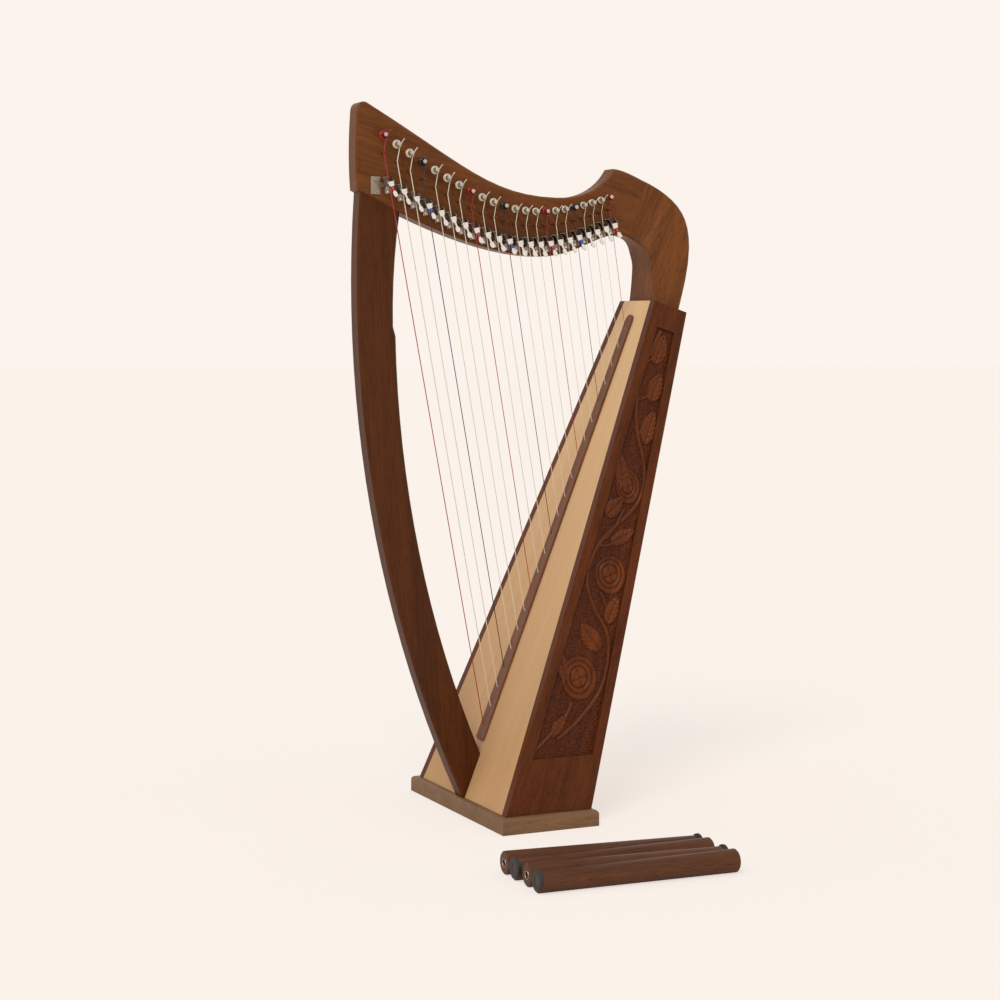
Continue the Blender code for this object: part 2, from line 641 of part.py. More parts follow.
def make_strings():
    """All the strings, held together by the rail behind the soundboard that their knots bear on."""
    first = board_point(FIRST_STRING - KNOT_RAIL_MARGIN, -BOARD_THICK - FIT_GAP - KNOT_RAIL_THICK / 2)
    last_along = FIRST_STRING + STRING_PITCH * (STRING_COUNT - 1) + KNOT_RAIL_MARGIN
    length = min(last_along, BOARD_LENGTH - TOP_BLOCK_HEIGHT - KNOT_RAIL_MARGIN / 4) - FIRST_STRING + KNOT_RAIL_MARGIN
    half = KNOT_RAIL_WIDTH / 2
    rail = bmesh.new()
    flat_panel(rail, Vector((first.x, 0.0, first.y)), Vector((0.0, 1.0, 0.0)),
               Vector((BOARD_UP.x, 0.0, BOARD_UP.y)), Vector((BOARD_OUT.x, 0.0, BOARD_OUT.y)),
               [(0.0, -half), (0.0, half), (length, half), (length, -half)], KNOT_RAIL_THICK)
    strings = add_piece("strings", rail)
    tubes = bmesh.new()
    for index in range(STRING_COUNT):
        points = string_points(index)
        runs = [(there - here).normalized() for here, there in zip(points, points[1:])]
        normals = [runs[0], (runs[0] + runs[1]).normalized(), (runs[1] + runs[2]).normalized(), runs[2]]
        side = Vector((1.0, 0.0, 0.0))
        rings = []
        for point, normal in zip(points, normals):
            across = (side - side.dot(normal) * normal).normalized()
            rings.append(ring(tubes, point, across, normal.cross(across), [string_radius(index)] * 6))
            side = across
        skin(tubes, rings)
    combine(strings, add_tool("join.strings", tubes), "UNION")
    finish_with(strings, GUT, 0.5)


def make_tuning_pin(index):
    """One tuning pin in its bore: the string side at -Y, a square for the tuning key at +Y."""
    place = tuning_pin_place(index)
    tip = -NECK_FACE - PIN_TIP
    tail = NECK_FACE + PIN_TAIL
    end = tail + PIN_SQUARE_LENGTH
    square = [PIN_SQUARE_RADIUS, PIN_SQUARE_RADIUS * math.sqrt(0.5)] * (PIN_SIDES // 2)
    stations = [(tip, [PIN_RADIUS - PIN_TIP_CHAMFER] * PIN_SIDES), (tip + PIN_TIP_CHAMFER, [PIN_RADIUS] * PIN_SIDES),
                (tail, [PIN_RADIUS] * PIN_SIDES), (tail + PIN_TIP_CHAMFER, square), (end, square)]
    axle = bpy.data.objects.new(f"axis.tuning_pin_{index + 1:02d}", None)
    bpy.context.scene.collection.objects.link(axle)
    axle.location = (place.x, 0.0, place.y)
    bm = bmesh.new()
    skin(bm, [ring(bm, Vector((0.0, y, 0.0)), Vector((1.0, 0.0, 0.0)), Vector((0.0, 0.0, 1.0)), radii)
              for y, radii in stations])
    pin = add_piece(f"tuning_pin_{index + 1:02d}", bm, axle)
    finish_with(pin, NICKEL, 0.3, 1.0)


def make_brackets():
    """The lever brackets: a plate with two pierced ears each, on one thin rail behind them, and a spare plate."""
    frames = [lever_frame(index) for index in range(STRING_COUNT)]
    plates, ears, bores = bmesh.new(), bmesh.new(), bmesh.new()
    lift = FIT_GAP + BRACKET_PLATE / 2
    for top, across, down, out in frames:
        half = BRACKET_WIDTH / 2
        plate = [(0.0, -half), (0.0, half), (BRACKET_HEIGHT, half), (BRACKET_HEIGHT, -half)]
        flat_panel(plates, top + lift * out, across, down, out, plate, BRACKET_PLATE)
        root = FIT_GAP + BRACKET_PLATE / 2
        outline = [(BRACKET_HEIGHT - RAIL_THICK, root), (RAIL_THICK, root), *EAR_OUTLINE]
        for side in (-1, 1):
            middle = top + side * (half - EAR_THICK / 2) * across
            flat_panel(ears, middle, out, down, across, outline, EAR_THICK - 2 * RUNNING_GAP)
            pivot = middle + PIVOT_DOWN * down + PIVOT_OUT * out
            rod(bores, pivot - EAR_THICK * across, pivot + EAR_THICK * across,
                flat_radius(AXLE_RADIUS + RUNNING_GAP, AXLE_SIDES), AXLE_SIDES)
    top, across, down, out = frames[0]
    spare = top + Vector((SPARE_PLATE_STEP[0], 0.0, SPARE_PLATE_STEP[1]))
    wide, tall = SPARE_PLATE_WIDTH / 2, SPARE_PLATE_HEIGHT / 2
    flat_panel(plates, spare + lift * out, Vector((1.0, 0.0, 0.0)), Vector((0.0, 0.0, -1.0)), out,
               [(-tall, -wide), (-tall, wide), (tall, wide), (tall, -wide)], BRACKET_PLATE)
    rail = bmesh.new()
    middles = [spare] + [top + RAIL_DOWN * down for top, across, down, out in frames]
    rings = []
    for middle in middles:
        low, high = FIT_GAP, FIT_GAP + RAIL_THICK
        rings.append([rail.verts.new(middle + up * Vector((0.0, 0.0, RAIL_WIDTH / 2)) + level * Vector((0.0, -1.0, 0.0)))
                      for up, level in ((-1, low), (-1, high), (1, high), (1, low))])
    skin(rail, rings)
    brackets = add_piece("lever_brackets", rail)
    combine(brackets, add_tool("join.plates", plates), "UNION")
    combine(brackets, add_tool("join.ears", ears), "UNION")
    combine(brackets, add_tool("cut.brackets", bores), "DIFFERENCE")
    finish_with(brackets, NICKEL, 0.25, 1.0)


def make_lever(index):
    """One sharping lever: a barrel on two stub axles between the ears, and a flat handle."""
    top, across, down, out = lever_frame(index)
    pivot = top + PIVOT_DOWN * down + PIVOT_OUT * out
    axis = bpy.data.objects.new(f"axis.lever_{index + 1:02d}", None)
    bpy.context.scene.collection.objects.link(axis)
    axis.matrix_world = Matrix.Translation(pivot)
    handle_run = (math.sin(HANDLE_REST_ANGLE) * down + math.cos(HANDLE_REST_ANGLE) * out).normalized()
    handle_face = across.cross(handle_run)
    clear = BRACKET_WIDTH / 2 - EAR_THICK - FIT_GAP
    reach = BRACKET_WIDTH / 2
    stations = [(-reach, AXLE_RADIUS), (-clear, AXLE_RADIUS), (-clear, BARREL_RADIUS),
                (clear, BARREL_RADIUS), (clear, AXLE_RADIUS), (reach, AXLE_RADIUS)]
    bm = bmesh.new()
    skin(bm, [ring(bm, place * across, handle_run, handle_face, [radius] * BARREL_SIDES) for place, radius in stations])
    lever = add_piece(f"lever_{index + 1:02d}", bm, axis)
    handle = bmesh.new()
    outline = [(a, -b) for a, b in HANDLE_OUTLINE] + [(a, b) for a, b in reversed(HANDLE_OUTLINE)]
    flat_panel(handle, pivot, across, handle_run, handle_face, outline, HANDLE_THICK)
    combine(lever, add_tool(f"join.lever_{index + 1:02d}", handle), "UNION")
    finish_with(lever, NICKEL, 0.25, 1.0)


def make_leg(index):
    """One detached, tapering leg on the floor, with the blind hole for its screw in the thick end."""
    stations = [(0.0, LEG_RADIUS - LEG_END_ROUND), (LEG_END_ROUND, LEG_RADIUS),
                (LEG_LENGTH - LEG_END_ROUND, LEG_FOOT_RADIUS), (LEG_LENGTH, LEG_FOOT_RADIUS - LEG_END_ROUND)]
    flat = math.cos(math.pi / LEG_SIDES)
    bm = bmesh.new()
    rings = []
    for along, radius in stations:
        taper = LEG_RADIUS + (LEG_FOOT_RADIUS - LEG_RADIUS) * along / LEG_LENGTH
        rings.append(ring(bm, Vector((along, 0.0, taper * flat)), Vector((0.0, 1.0, 0.0)), Vector((0.0, 0.0, 1.0)),
                          [radius] * LEG_SIDES))
    skin(bm, rings)
    cutter = bmesh.new()
    rod(cutter, Vector((-LEG_HOLE_DEPTH, 0.0, LEG_RADIUS * flat)), Vector((LEG_HOLE_DEPTH, 0.0, LEG_RADIUS * flat)),
        LEG_HOLE_RADIUS, 12)
    x, y, heading = LEG_PLACES[index]
    place = Matrix.Translation((x, y, 0.0)) @ Matrix.Rotation(math.radians(heading), 4, "Z")
    leg = add_piece(f"leg_{index + 1}", bm)
    leg.matrix_world = place
    tool = add_tool(f"cut.leg_{index + 1}", cutter)
    tool.matrix_world = place
    combine(leg, tool, "DIFFERENCE")
    finish_with(leg, WALNUT, 0.35)
    shade_round(leg)


def main():
    """Build every piece of the harp."""
    clear_scene()
    make_base()
    make_side_panel("side_panel_left", -1)
    make_side_panel("side_panel_right", 1)
    make_soundboard()
    make_back_panel()
    make_top_block()
    make_string_strip()
    make_neck()
    make_shoulder()
    make_pillar()
    make_strings()
    make_brackets()
    for index in range(STRING_COUNT):
        make_tuning_pin(index)
        make_lever(index)
    for index in range(len(LEG_PLACES)):
        make_leg(index)


main()
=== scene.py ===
"""A small lever harp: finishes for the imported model, with its strings, coils, carving, fittings and stage."""
import json
import math

import bpy
import numpy as np
from mathutils import Matrix, Vector


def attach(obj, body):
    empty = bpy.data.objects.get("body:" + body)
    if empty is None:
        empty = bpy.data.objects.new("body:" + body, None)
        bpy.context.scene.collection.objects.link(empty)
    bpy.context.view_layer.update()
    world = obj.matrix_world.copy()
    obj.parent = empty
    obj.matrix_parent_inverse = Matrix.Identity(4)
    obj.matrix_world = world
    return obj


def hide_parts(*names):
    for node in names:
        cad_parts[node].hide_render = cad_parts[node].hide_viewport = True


bl_info = {
    "name": "Lever Harp",
    "version": (1, 0, 0),
    "blender": (4, 5, 0),
    "location": "View3D > Sidebar > Harp",
    "description": "Finishes, strings, carving and stage for a small lever harp",
    "category": "Object",
}

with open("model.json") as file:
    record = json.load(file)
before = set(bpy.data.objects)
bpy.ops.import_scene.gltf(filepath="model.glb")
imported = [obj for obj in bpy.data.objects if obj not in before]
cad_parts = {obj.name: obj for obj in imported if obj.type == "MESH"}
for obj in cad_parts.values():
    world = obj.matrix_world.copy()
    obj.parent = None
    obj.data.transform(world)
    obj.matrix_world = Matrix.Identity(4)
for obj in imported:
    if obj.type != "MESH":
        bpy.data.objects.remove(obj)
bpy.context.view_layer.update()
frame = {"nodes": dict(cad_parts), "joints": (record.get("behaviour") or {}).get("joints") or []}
JOINTS = {joint["name"]: joint for joint in frame["joints"]}
OUT = Vector((0.0, -1.0, 0.0))

# The soundbox. Places are (x, z) in the side view, and all sizes in this file are in metres.
BASE_THICK = 0.0206
BOARD_FOOT = Vector((-0.0595, 0.0206))
BOARD_LEAN = math.radians(21.54)
BOARD_UP = Vector((math.sin(BOARD_LEAN), math.cos(BOARD_LEAN)))
BOARD_OUT = Vector((-math.cos(BOARD_LEAN), math.sin(BOARD_LEAN)))
BOARD_SLOPE = math.tan(BOARD_LEAN)
BOARD_THICK = 0.004
BACK_FOOT_X = 0.062
BACK_SLOPE = 0.2876
HEAD_SLOPE = math.tan(math.radians(18.0))
BOX_HEAD = Vector((0.1972, 0.6708))
BOX_HALF_WIDTH = 0.136
SIDE_TAPER = 0.1358

# The sunk field of a side panel, and its margins from the panel's edges.
FIELD_DEPTH = 0.0028
FIELD_FRONT = 0.0135
FIELD_BACK = 0.013
FIELD_TOP = 0.034
FIELD_FOOT = 0.068

# The strings, the strip that they pass through and the rail that their knots bear on.
STRING_COUNT = 22
FIRST_STRING = 0.0980
STRING_PITCH = 0.0267
BASS_RADIUS = 0.00070
TREBLE_RADIUS = 0.00035
STRIP_THICK = 0.0030
BEND_HEIGHT = 0.0011
KNOT_DEPTH = 0.0028
RAIL_MARGIN = 0.010
RAIL_END = 0.6685
RAIL_THICK = 0.005
RAIL_WIDTH = 0.016
RAIL_ROUND = 0.001
EYELET_WIRE = 0.00045
RED_STRINGS = (1, 8, 15, 22)
DARK_STRINGS = (4, 11, 18)

# The neck's pins. Offsets are out from the neck's face.
NECK_FACE = 0.0135
PIN_RADIUS = 0.0027
COIL_OFFSET = 0.0100
BRIDGE_RADIUS = 0.0014
BRIDGE_STEP = 0.0008
BRIDGE_DROP = 0.0223
BRIDGE_DROP_LOSS = 0.0003
STRING_OFFSET = 0.0132
GAP = 0.0003

# A coil has an inner and an outer layer. Their reach and pitch are in string radii.
COIL_STEPS = 12
INNER_LAYER = 1.0
OUTER_LAYER = 2.9
COIL_PITCH = 2.05
# The loose end's points: how far across, how far along the pin, and the share of its length upwards.
LOOSE_END = ((0.0006, -0.0010, 0.35), (0.0018, -0.0022, 0.7), (0.0036, -0.0030, 1.0))

# The levers: their pivots in the brackets, the handles, the sleeves on them and the brackets' screws.
PIVOT_DOWN = 0.0084
PIVOT_OUT = 0.0162
HANDLE_ANGLE = math.radians(60.0)
SLEEVE_PLACE = 0.0088
SLEEVE_LENGTH = 0.0058
SLEEVE_ROUND = 0.0005
SCREW_DOWN = 0.0185
SCREW_OUT = 0.0012
SCREW_DEPTH = 0.0010
SCREW_ROUND = 0.0003

# The loose legs. Each lies on one of its flat sides, so its axis is lower than its radius.
LEG_LENGTH = 0.2555
LEG_RADIUS = 0.0140
LEG_SIDES = 20
LEG_HEIGHT = LEG_RADIUS * math.cos(math.pi / LEG_SIDES)
LEG_FOOT_RADIUS = 0.01225
# The x and y of each leg's screw end, and the direction of its foot in degrees.
LEG_PLACES = (
    (-0.1483, -0.3153, -2.9),
    (0.1060, -0.3555, 177.3),
    (-0.1489, -0.3760, -2.6),
    (0.1045, -0.4155, 177.6),
)
# The rubber feet stand proud of their legs all round and at the end. The inserts ring the screw holes.
RUBBER_PROUD = 0.0003
RUBBER_OVERHANG = 0.0006
RUBBER_SIDES = 40
RUBBER_RIM = 0.0078
RUBBER_DIMPLE = 0.003
RUBBER_ROUND = 0.0009
INSERT_RADIUS = 0.0046
INSERT_WIRE = 0.0006

# The relief in the field: its grid, its margin, its lift off the field's floor and the depth of its back.
RELIEF_COLUMNS = 110
RELIEF_ROWS = 460
RELIEF_MARGIN = 0.0003
RELIEF_LIFT = 0.00005
RELIEF_BACK = 0.0006
# The share of the grid that counts as its edge, and the rounds that settle its sloping top.
RELIEF_EDGE = 0.001
HEAD_ROUNDS = 4

# Leaves of the carving: height, share across, length, width, turn of the tip in degrees.
LEAVES = (
    (0.606, 0.50, 0.043, 0.023, 24),
    (0.556, 0.62, 0.042, 0.023, 26),
    (0.504, 0.68, 0.047, 0.024, 22),
    (0.449, 0.32, 0.050, 0.020, -4),
    (0.402, 0.36, 0.034, 0.022, 50),
    (0.364, 0.64, 0.040, 0.018, 66),
    (0.270, 0.74, 0.040, 0.019, 28),
    (0.237, 0.50, 0.044, 0.026, -34),
    (0.203, 0.20, 0.040, 0.016, -8),
    (0.128, 0.36, 0.034, 0.014, 40),
)
# Blooms of the carving: height, share across, radius, height over width.
BLOOMS = (
    (0.428, 0.52, 0.0170, 1.30),
    (0.315, 0.58, 0.0220, 1.10),
    (0.186, 0.48, 0.0250, 1.10),
)
# Stems of the carving, each a run of height and share across, with a radius.
STEMS = (
    (((0.630, 0.42), (0.585, 0.22), (0.540, 0.26), (0.500, 0.44), (0.460, 0.72), (0.425, 0.83), (0.398, 0.72),
      (0.372, 0.40), (0.345, 0.22), (0.310, 0.22), (0.275, 0.44), (0.240, 0.74), (0.200, 0.84), (0.165, 0.80),
      (0.135, 0.62), (0.112, 0.40)), 0.0026),
    (((0.398, 0.55), (0.380, 0.48), (0.362, 0.36)), 0.0020),
    (((0.355, 0.22), (0.353, 0.42), (0.360, 0.60)), 0.0018),
    (((0.292, 0.50), (0.280, 0.60), (0.262, 0.72)), 0.0018),
    (((0.155, 0.46), (0.138, 0.42), (0.120, 0.30), (0.100, 0.14)), 0.0022),
    (((0.590, 0.24), (0.594, 0.40)), 0.0016),
    (((0.540, 0.26), (0.545, 0.50)), 0.0016),
    (((0.500, 0.44), (0.493, 0.60)), 0.0016),
)
# Shapes of the carving. Heights and depths run from 0, the ground, to 1, the full relief.
STEM_HEIGHT = 0.72
LEAF_EDGE = 0.35
LEAF_DOME = 0.65
LEAF_POINT = 0.75
LEAF_TAPER = 0.22
MIDRIB_DEPTH = 0.60
MIDRIB_WIDTH = 0.0012
VEIN_DEPTH = 0.34
VEIN_PITCH = 0.0072
VEIN_SLANT = 0.8
VEIN_START = 0.12
LEAF_LOW = 0.1
BLOOM_EDGE = 0.5
BLOOM_DOME = 0.45
PETAL_LOW = 0.05
HEART_LOW = 0.08
# Grooves between a bloom's petals: share of its radius, width and depth.
PETAL_GROOVES = ((0.76, 0.07, 0.62), (0.50, 0.06, 0.70))
PETAL_SWAY = 0.06
PETAL_TURN = 0.6
HEART_RADIUS = 0.42
HATCH_DEPTH = 0.55
HATCH_WIDTH = 0.26
HATCH_ACROSS = 7.0
HATCH_SLANT = 2.0
GROUND_ROUGHNESS = 0.035
GROUND_WAVES = (2900, 2700)

# The stage: a floor that is partly its own colour to the camera, an even sky and one soft lamp.
FLOOR_SIZE = 60.0
FLOOR_DROP = 0.0001
FLOOR_GLOW = 0.70
SKY_COLOUR = (1.0, 0.99, 0.97, 1.0)
SKY_STRENGTH = 0.62
LAMP_PLACE = (-2.0, -2.5, 3.0)
LAMP_AIM = Vector((0.52, 0.55, -0.80))
LAMP_STRENGTH = 1.5
LAMP_SPREAD = math.radians(24.0)

# The camera that matches the photograph.
CAMERA_PLACE = Vector((-1.206, -2.505, 0.6326))
CAMERA_YAW = math.radians(25.612)
CAMERA_PITCH = math.radians(-4.604)
CAMERA_ROLL = math.radians(0.337)
CAMERA_LENS = 76.64
CAMERA_SENSOR = 36.0

# Sockets of Blender's Mix node: its share, its two values or colours, and its two outputs.
MIX_SHARE = 0
MIX_VALUES = (2, 3)
MIX_COLOURS = (6, 7)
MIX_VALUE_OUT = 0
MIX_COLOUR_OUT = 2

# The surfaces: depths of the fine dents and of the dots punched in the carving's ground.
FINE_DEPTH = 0.0004
PIT_DEPTH = 0.0016
# How far a finish's roughness sways about its middle value, and the least roughness of a plain one.
PLAIN_SWAY = 0.07
WOOD_SWAY = 0.08
LEAST_ROUGHNESS = 0.05
# The streaks' share in a wood's figure, and its pale bands and pores as shares of its contrast.
STREAK_SHARE = 0.42
PALE_SHARE = 0.7
PORE_SHARE = 0.9
# The heights between which the soundboard's colour fades.
FADE_START = 0.03
FADE_END = 0.64
# The carving's low and high parts and its punched dots, as multiples of the wood's colour: painted shade on the
# low parts and in the dots' middles, painted light on the high parts and painted highlights on the dots' rims.
CARVED_LOW_PAINTED_SHADE = (0.60, 0.55, 0.50)
CARVED_HIGH_PAINTED_LIGHT = (1.40, 1.34, 1.26)
PUNCH_MIDDLE_PAINTED_SHADE = (0.62, 0.60, 0.58)
PUNCH_RIM_PAINTED_HIGHLIGHT = (1.75, 1.65, 1.55)
# The fineness of the punched dots, and the carved height at which their ground ends.
PUNCH_SCALE = 460.0
GROUND_TOP = 0.25
# Grain directions, as a turn from upright: along the soundboard, level, up the pillar and along the neck.
ALONG_BOARD = (0.0, BOARD_LEAN, 0.0)
LEVEL = (0.0, math.radians(90.0), 0.0)
UP_PILLAR = (0.0, math.radians(-4.0), 0.0)
ALONG_NECK = (0.0, math.radians(105.0), 0.0)


def paint(red, green, blue):
    """A screen colour from 0 to 255 as linear light."""
    shares = (value / 255 for value in (red, green, blue))
    return tuple(share / 12.92 if share <= 0.04045 else ((share + 0.055) / 1.055) ** 2.4 for share in shares)


def colour_prop(name, description, default):
    """A colour that a user can change."""
    return bpy.props.FloatVectorProperty(name=name, description=description, subtype="COLOR", size=3,
                                         min=0.0, max=1.0, default=default)


def length_prop(name, description, default):
    """A length that a user can change."""
    return bpy.props.FloatProperty(name=name, description=description, default=default, min=0.0,
                                   unit="LENGTH", precision=5)


class HarpColours(bpy.types.PropertyGroup):
    """Colours of the harp's woods, strings and fittings."""
    side: colour_prop("Side wood", "Middle colour of the carved sides", paint(90, 43, 14))
    neck: colour_prop("Neck wood", "Middle colour of the neck and shoulder", paint(110, 63, 28))
    pillar: colour_prop("Pillar wood", "Middle colour of the pillar", paint(80, 40, 13))
    base: colour_prop("Base wood", "Middle colour of the base plate", paint(124, 92, 64))
    board_top: colour_prop("Board, top", "Colour of the soundboard at its top", paint(216, 177, 133))
    board_foot: colour_prop("Board, foot", "Colour of the soundboard's foot and back", paint(188, 146, 102))
    strip: colour_prop("Strip wood", "Colour of the string strip and the knot rail", paint(112, 72, 50))
    leg: colour_prop("Leg wood", "Middle colour of the legs", paint(90, 54, 34))
    # The brackets, eyelets and inserts get a dark nickel colour that paints in dark reflections.
    painted_dark_reflection_metal: colour_prop("Darkened nickel", "Colour of brackets, eyelets and inserts", (0.33, 0.27, 0.21))
    pin_metal: colour_prop("Tuning pins", "Colour of the tuning pins", (0.50, 0.47, 0.42))
    nickel: colour_prop("Nickel", "Colour of the levers and the brackets' screws", (0.78, 0.76, 0.72))
    natural: colour_prop("Plain strings", "Colour of the plain strings", paint(214, 202, 178))
    red: colour_prop("Red strings", "Colour of the strings and sleeves for C", paint(160, 12, 22))
    dark: colour_prop("Dark strings", "Colour of the strings for F", paint(34, 34, 46))
    blue: colour_prop("Blue sleeves", "Colour of the lever sleeves for F", paint(30, 66, 150))
    rubber: colour_prop("Rubber", "Colour of the legs' feet", paint(26, 25, 25))
    backdrop: colour_prop("Backdrop", "Colour of the floor and the background", paint(252, 243, 236))


class HarpSizes(bpy.types.PropertyGroup):
    """Sizes of the harp's small fittings."""
    coil_turns: bpy.props.IntProperty(name="Coil turns", description="Turns in each of a coil's two layers",
                                      default=3, min=1, max=6)
    loose_end: length_prop("Loose end", "Height of the string left beyond the coil", 0.0070)
    eyelet: length_prop("Eyelet", "Middle radius of the eyelets in the string strip", 0.0015)
    screw: length_prop("Screw head", "Radius of the bracket screws' heads", 0.0015)
    sleeve: length_prop("Sleeve", "Radius of the coloured sleeves on the levers", 0.0021)
    relief: length_prop("Carving height", "Height of the carving over its ground", 0.0028)
    rubber_depth: length_prop("Foot depth", "Depth of the rubber foot of a leg", 0.0045)


def add_node(tree, kind, **values):
    """A shader node with its inputs set by name."""
    node = tree.nodes.new(kind)
    for key, value in values.items():
        node.inputs[key.replace("_", " ")].default_value = value
    return node


def ramp(tree, source, low, high):
    """A colour that runs from low to high, each a place on the ramp and a colour."""
    node = tree.nodes.new("ShaderNodeValToRGB")
    for element, (place, colour) in zip(node.color_ramp.elements, (low, high)):
        element.position = place
        element.color = (*colour, 1.0)
    tree.links.new(source, node.inputs["Fac"])
    return node.outputs["Color"]


def spread(tree, source, low, high, start=0.0, end=1.0):
    """A value that runs from low to high while its source runs from start to end."""
    node = add_node(tree, "ShaderNodeMapRange", From_Min=start, From_Max=end, To_Min=low, To_Max=high)
    tree.links.new(source, node.inputs["Value"])
    return node.outputs["Result"]


def multiply(tree, first, second, share=None):
    """Two colours multiplied, as far as share says, or wholly."""
    node = tree.nodes.new("ShaderNodeMix")
    node.data_type = "RGBA"
    node.blend_type = "MULTIPLY"
    node.inputs[MIX_SHARE].default_value = 1.0
    if share is not None:
        tree.links.new(share, node.inputs[MIX_SHARE])
    for source, place in zip((first, second), MIX_COLOURS):
        tree.links.new(source, node.inputs[place])
    return node.outputs[MIX_COLOUR_OUT]


def bump(tree, source, strength, depth, under=None):
    """A surface normal dented by a source, over another normal if one is given."""
    node = add_node(tree, "ShaderNodeBump", Strength=strength, Distance=depth)
    tree.links.new(source, node.inputs["Height"])
    if under is not None:
        tree.links.new(under, node.inputs["Normal"])
    return node.outputs["Normal"]


def new_material(name):
    """A material with its node tree, its shader and the object's own coordinates."""
    material = bpy.data.materials.new(name)
    material.use_nodes = True
    tree = material.node_tree
    place = tree.nodes.new("ShaderNodeTexCoord").outputs["Object"]
    return material, tree, tree.nodes["Principled BSDF"], place


def plain_material(name, colour, roughness, metallic=0.0, speckle=0.12, grain=220.0, coat=0.0, dents=0.05):
    """A finish with a fine mottle in its colour, sheen and surface."""
    material, tree, shader, place = new_material(name)
    shader.inputs["Metallic"].default_value = metallic
    shader.inputs["Coat Weight"].default_value = coat
    noise = add_node(tree, "ShaderNodeTexNoise", Scale=grain, Detail=4.0)
    tree.links.new(place, noise.inputs["Vector"])
    mottle = noise.outputs["Fac"]
    dim = [channel * (1 - speckle) for channel in colour]
    bright = [min(1.0, channel * (1 + speckle)) for channel in colour]
    tree.links.new(ramp(tree, mottle, (0.3, dim), (0.7, bright)), shader.inputs["Base Color"])
    sheen = spread(tree, mottle, max(LEAST_ROUGHNESS, roughness - PLAIN_SWAY), roughness + PLAIN_SWAY)
    tree.links.new(sheen, shader.inputs["Roughness"])
    tree.links.new(bump(tree, mottle, dents, FINE_DEPTH), shader.inputs["Normal"])
    return material


def even_colour(tree, colour):
    """One colour all over."""
    node = tree.nodes.new("ShaderNodeRGB")
    node.outputs["Color"].default_value = (*colour, 1.0)
    return node.outputs["Color"]


def fade_up(tree, place, foot_colour, top_colour):
    """A colour that changes from the soundboard's foot to its top."""
    split = tree.nodes.new("ShaderNodeSeparateXYZ")
    tree.links.new(place, split.inputs["Vector"])
    fade = tree.nodes.new("ShaderNodeMix")
    fade.data_type = "RGBA"
    for socket, colour in zip(MIX_COLOURS, (foot_colour, top_colour)):
        fade.inputs[socket].default_value = (*colour, 1.0)
    rise = spread(tree, split.outputs["Z"], 0.0, 1.0, start=FADE_START, end=FADE_END)
    tree.links.new(rise, fade.inputs[MIX_SHARE])
    return fade.outputs[MIX_COLOUR_OUT]


def punched_ground_with_painted_shade(tree, place, colour, normal):
    """Paints shade on the low parts of the carving and light on its high parts, and punches dots in its ground
    with painted shade in their middles and painted highlights on their rims, by the piece's carved_height.
    """
    attribute = tree.nodes.new("ShaderNodeAttribute")
    attribute.attribute_name = "carved_height"
    height = attribute.outputs["Fac"]
    # Painted shade on the carving's low parts and painted light on its high parts.
    colour = multiply(tree, colour, ramp(tree, height, (0.02, CARVED_LOW_PAINTED_SHADE), (0.80, CARVED_HIGH_PAINTED_LIGHT)))
    punch = add_node(tree, "ShaderNodeTexVoronoi", Scale=PUNCH_SCALE)
    tree.links.new(place, punch.inputs["Vector"])
    dots = punch.outputs["Distance"]
    ground = spread(tree, height, 1.0, 0.0, end=GROUND_TOP)
    # Painted shade in the middles of the punched dots and painted highlights on their rims.
    colour = multiply(tree, colour, ramp(tree, dots, (0.15, PUNCH_MIDDLE_PAINTED_SHADE), (0.62, PUNCH_RIM_PAINTED_HIGHLIGHT)), ground)
    mask = tree.nodes.new("ShaderNodeMath")
    mask.operation = "MULTIPLY"
    tree.links.new(dots, mask.inputs[0])
    tree.links.new(ground, mask.inputs[1])
    return colour, bump(tree, mask.outputs["Value"], 1.0, PIT_DEPTH, normal)


